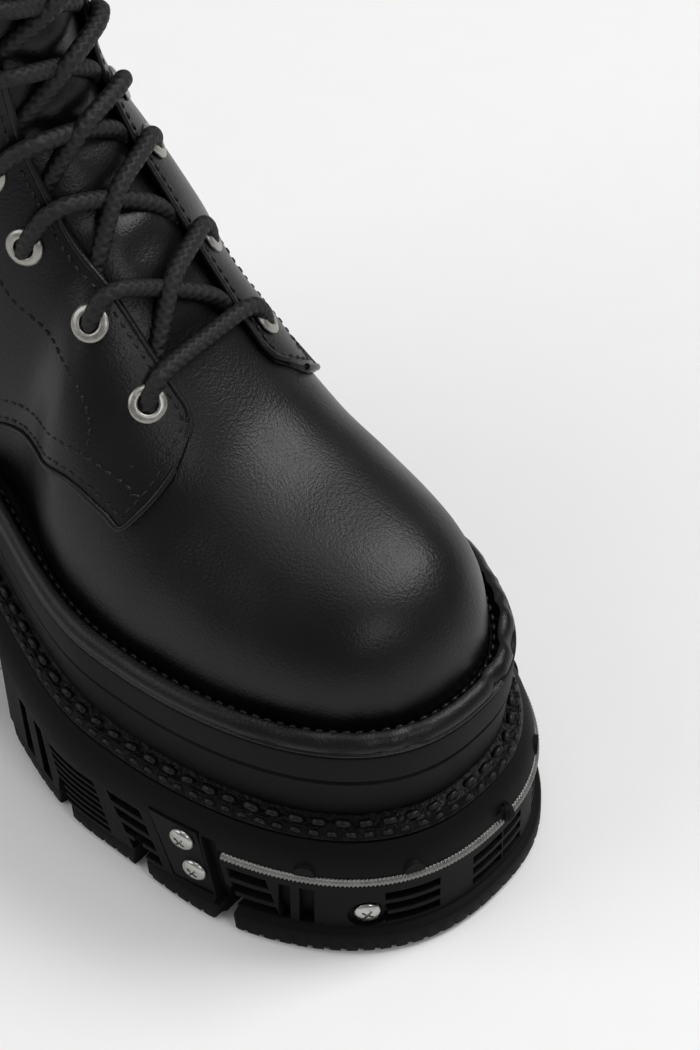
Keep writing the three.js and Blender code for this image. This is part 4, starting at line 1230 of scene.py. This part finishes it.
class BOOT_OT_stitching(bpy.types.Operator):
    """Thread: ledge, welt, throat edges, front edge and the seams of the quarters"""
    bl_idname = "boot.stitching"
    bl_label = "Stitching"

    def execute(self, context):
        sizes = context.scene.boot_sizes
        thick = sizes.thread_thickness / MM
        level = LEDGE_LEVEL + LEDGE_HEIGHT

        def straight_up(point):
            outward = Vector((point.x * 0.35, point.y - TOE_AXIS, 0)).normalized()
            return (Vector((0, 0, 1)) + outward * 0.25).normalized()
        ledge = plan_loop(OUTSOLE_INSET + 3.4, raised(level - 0.7))
        rows = stitch_row(ledge + ledge[:1], straight_up, 4.4, 2.0, 2.2, 0.6)
        ledge = plan_loop(OUTSOLE_INSET + 1.0, raised(level - 2.2))
        rows += stitch_row(ledge + ledge[:1], straight_up, 2.9, 2.1, 1.4, 0.4)
        finish_piece(working_object("ledge_stitches", join(rows)), MATERIALS["thread"], (), 60)
        gutter = plan_loop(FEATHER_INSET - 1.35, raised(FEATHER_LEVEL + WELT_HEIGHT * 0.52))
        rows = stitch_row(gutter + gutter[:1], straight_up, 2.6, 0.9, 1.3, 0.6)
        finish_piece(working_object("welt_stitches", join(rows)), MATERIALS["thread"], (), 60)
        base = [surface_point(VAMP_THROAT - 0.16, across, 0.1) for across in range(-13, 14)]
        leather = stitch_row(base, lambda point: surface_normal(VAMP_THROAT, 0), 2.3, 0.8, thick, 0.35)
        for side, facts in SIDES.items():
            quarter = bpy.data.objects[f"quarter_leather_{side}"]
            leather += self.side_rows(side, facts[0], quarter, thick)
        finish_piece(working_object("quarter_stitches", join(leather)), MATERIALS["thread"], (), 60)
        return {"FINISHED"}

    def side_rows(self, side, sign, quarter, thick):
        tree = BVHTree.FromObject(quarter, bpy.context.evaluated_depsgraph_get())
        rows, rims = [], []

        def on_quarter(x, z):
            hit, normal, _, _ = tree.ray_cast(Vector((x, sign * 200, z)) * MM, Vector((0, -sign, 0)))
            return (hit / MM, normal) if hit else (None, None)

        def outward(point):
            _, normal, _, _ = tree.find_nearest(point * MM)
            return normal

        def sew(line, length=2.3, space=0.8):
            rows.extend(stitch_row(line, outward, length, space, thick, 0.35))

        def seam(line):
            points = [on_quarter(x, z)[0] for x, z in line]
            run = [point for point in points if point is not None]
            if len(run) > 2:
                sew(run, space=0.9)
        place = FACING_THROAT + 0.2
        throat, edge = [], []
        while place < COLLAR_ROW - 0.15:
            half = THROAT_HALF_GAP * throat_share(FACING_THROAT, place, 1)
            edge.append(surface_point(place, sign * (half + 0.7), CLEARANCE + QUARTER - 0.25))
            if place > FACING_THROAT + 0.4:
                throat.append(surface_point(place, sign * (half + 2.9), CLEARANCE + QUARTER))
            place += 0.05 if place < FACING_THROAT + 1 else 0.12
        sew(throat)
        rims.append(edge)
        outline = spline([Vector((station_at(x), FEATHER_LEVEL + z * UPPER_RISE, 0))
                          for x, z in QUARTER_EDGE[2:]], 8)
        for inset, from_share, to_share in ((0.7, 0, 0.93), (3.3, 0, 1), (9.5, 0.36, 1)):
            moved = []
            first, last = int(from_share * len(outline)), int(to_share * len(outline))
            for a, b in zip(outline[first:last], outline[first + 1:last]):
                way = (b - a).normalized()
                moved.append(((a.x + way.y * inset), (a.y - way.x * inset)))
            if inset > 1:
                seam(moved)
                continue
            spots = [on_quarter(x, z)[0] for x, z in moved]
            rims.append([spot for spot in spots if spot is not None])
        for landmarks in STAY_SEAM, BAR_TACK, [point + Vector((1.2, 0, -2.2)) for point in BAR_TACK]:
            line = []
            for x, y, z in spline(landmarks, 8):
                near = tree.find_nearest(Vector((x, y if sign < 0 else 2 * THROAT_AXIS - y, z)) * MM)[0]
                line.append(near / MM)
            sew(line, length=2.2)
        back = []
        for z in range(int(FEATHER_LEVEL + HEEL_LIFT + 14), int(COLLAR_HEIGHT - 6), 3):
            hit = tree.ray_cast(Vector((-200, THROAT_AXIS + sign * 2.6, z)) * MM, Vector((1, 0, 0)))[0]
            if hit:
                back.append(hit / MM)
        sew(back)
        collar = []
        for i in range(2, 50):
            angle = -sign * math.pi * i / 50
            point = section_point(section_at(COLLAR_ROW - 0.16), angle, CLEARANCE + QUARTER)
            if abs(point.y - THROAT_AXIS) > THROAT_HALF_GAP + 4 or point.x < -60:
                collar.append(point)
        sew(collar)
        self.folded_edges(side, rims)
        return rows

    def folded_edges(self, side, rims):
        """The turned-over edge of the leather, a soft roll along each cut"""
        parts = [swept(resample(rim, 1.2), 0.95, 10) for rim in rims if len(rim) > 3]
        made = working_object(f"folded_edge_{side}", join(parts))
        finish_piece(made, MATERIALS["leather"], (), 80)


# Stage. The camera's places are in millimetres, the softboxes' in metres

CAMERA_PLACE = Vector((377.98, -348.42, 604.39))
CAMERA_TARGET = Vector((46.02, 53.27, 40.0))
CAMERA_ANGLE = 23.0
SENSOR_HEIGHT = 36.0
FLOOR_REACH = 4000
FLOOR_DROP = 0.2
SKY_STRENGTH = 0.3
SOFTBOXES = [
    # name, place, what it points at, size, power
    ("key", (1.0, 1.8, 2.9), (0.03, 0, 0.1), 1.3, 60),
    ("front", (1.2, -0.3, 1.05), (0.08, 0, 0.08), 0.35, 3),
    ("side", (-1.5, -1.8, 1.9), (0.03, 0, 0.1), 2.0, 22),
    ("top", (0.2, 0.2, 3.0), (0.03, 0, 0.1), 1.6, 14),
]


class BOOT_OT_stage(bpy.types.Operator):
    """Pale floor, soft light and the camera"""
    bl_idname = "boot.stage"
    bl_label = "Stage"

    def execute(self, context):
        scene = context.scene
        corners = [Vector((x * FLOOR_REACH, y * FLOOR_REACH, -FLOOR_DROP))
                   for x, y in ((-1, -1), (1, -1), (1, 1), (-1, 1))]
        floor = working_object("studio_floor", (corners, [(0, 1, 2, 3)]))
        material, tree, shader = start_material("Matt studio paper", {"Roughness": 0.9})
        place = object_place(tree)
        fibre = add_node(tree, "ShaderNodeTexNoise", {"Vector": place, "Scale": 60.0, "Detail": 3.0})
        tone = scene.boot_colours.floor
        tree.links.new(add_ramp(tree, fibre.outputs["Fac"], 0.3, 0.7, [v * 0.99 for v in tone], tone),
                       shader.inputs["Base Color"])
        floor.data.materials.append(material)
        world = bpy.data.worlds.new("Studio")
        world.use_nodes = True
        sky = world.node_tree.nodes["Background"].inputs
        sky["Color"].default_value = (1, 1, 1, 1)
        sky["Strength"].default_value = SKY_STRENGTH
        scene.world = world
        scene.view_settings.view_transform = "Standard"
        for name, position, aim, size, power in SOFTBOXES:
            self.softbox(name, Vector(position), Vector(aim), size, power)
        camera_data = bpy.data.cameras.new("photograph")
        camera_data.sensor_fit = "VERTICAL"
        camera_data.sensor_height = SENSOR_HEIGHT
        camera_data.lens = SENSOR_HEIGHT / 2 / math.tan(math.radians(CAMERA_ANGLE / 2))
        camera_data.clip_start = 0.01
        camera = bpy.data.objects.new("photograph", camera_data)
        scene.collection.objects.link(camera)
        camera.location = CAMERA_PLACE * MM
        camera.rotation_euler = (CAMERA_TARGET * MM - camera.location).to_track_quat("-Z", "Y").to_euler()
        scene.camera = camera
        return {"FINISHED"}

    def softbox(self, name, position, target, size, power):
        light = bpy.data.lights.new(name, "AREA")
        light.size = size
        light.energy = power
        lamp = bpy.data.objects.new(name, light)
        bpy.context.scene.collection.objects.link(lamp)
        lamp.location = position
        lamp.rotation_euler = (target - position).to_track_quat("-Z", "Y").to_euler()


class BootSizes(bpy.types.PropertyGroup):
    lace_diameter: FloatProperty(name="Lace Diameter", description="Thickness of the round lace",
                                 default=0.0048, unit="LENGTH")
    thread_thickness: FloatProperty(name="Thread Thickness", description="Thickness of the sewing thread",
                                    default=0.0008, unit="LENGTH")


class BootColours(bpy.types.PropertyGroup):
    leather: FloatVectorProperty(name="Leather", description="Colour of the leather", subtype="COLOR",
                                 default=linear("080809"))
    rubber: FloatVectorProperty(name="Rubber", description="Colour of the sole", subtype="COLOR",
                                default=linear("080808"))
    cord: FloatVectorProperty(name="Lace", description="Colour of the lace", subtype="COLOR",
                              default=linear("0e0c0f"))
    thread: FloatVectorProperty(name="Thread", description="Colour of the thread", subtype="COLOR",
                                default=linear("070707"))
    lining: FloatVectorProperty(name="Lining", description="Colour of the lining", subtype="COLOR",
                                default=linear("1c1b1d"))
    nickel: FloatVectorProperty(name="Eyelets", description="Colour of the eyelets", subtype="COLOR",
                                default=linear("a9a7a2"))
    steel: FloatVectorProperty(name="Steel", description="Colour of the spring and screws", subtype="COLOR",
                               default=linear("bdbdb9"))
    floor: FloatVectorProperty(name="Floor", description="Colour of the floor", subtype="COLOR",
                               default=linear("f4f4f4"))


PIECES = (BOOT_OT_outsole, BOOT_OT_midsole, BOOT_OT_welt, BOOT_OT_upper, BOOT_OT_facings, BOOT_OT_tongue,
          BOOT_OT_insole, BOOT_OT_eyelets, BOOT_OT_laces, BOOT_OT_spring, BOOT_OT_sole_metal,
          BOOT_OT_stitching)


class BOOT_PT_panel(bpy.types.Panel):
    """Lists the boot's pieces, sizes and colours"""
    bl_idname = "BOOT_PT_panel"
    bl_label = "Platform Boot"
    bl_space_type = "VIEW_3D"
    bl_region_type = "UI"
    bl_category = "Boot"

    def draw(self, context):
        layout = self.layout
        for group in (context.scene.boot_sizes, context.scene.boot_colours):
            for name in group.__annotations__:
                layout.prop(group, name)
        for operator in (BOOT_OT_stage,) + PIECES:
            layout.operator(operator.bl_idname)


CLASSES = (BootSizes, BootColours, BOOT_OT_stage) + PIECES + (BOOT_PT_panel,)


def register():
    for each in CLASSES:
        bpy.utils.register_class(each)
    bpy.types.Scene.boot_sizes = PointerProperty(type=BootSizes)
    bpy.types.Scene.boot_colours = PointerProperty(type=BootColours)


def unregister():
    del bpy.types.Scene.boot_colours
    del bpy.types.Scene.boot_sizes
    for each in reversed(CLASSES):
        bpy.utils.unregister_class(each)


def main():
    register()
    bpy.ops.boot.stage()
    make_materials()
    for operator in PIECES:
        getattr(bpy.ops.boot, operator.bl_idname.split(".")[1])()


if __name__ == "__main__":
    main()
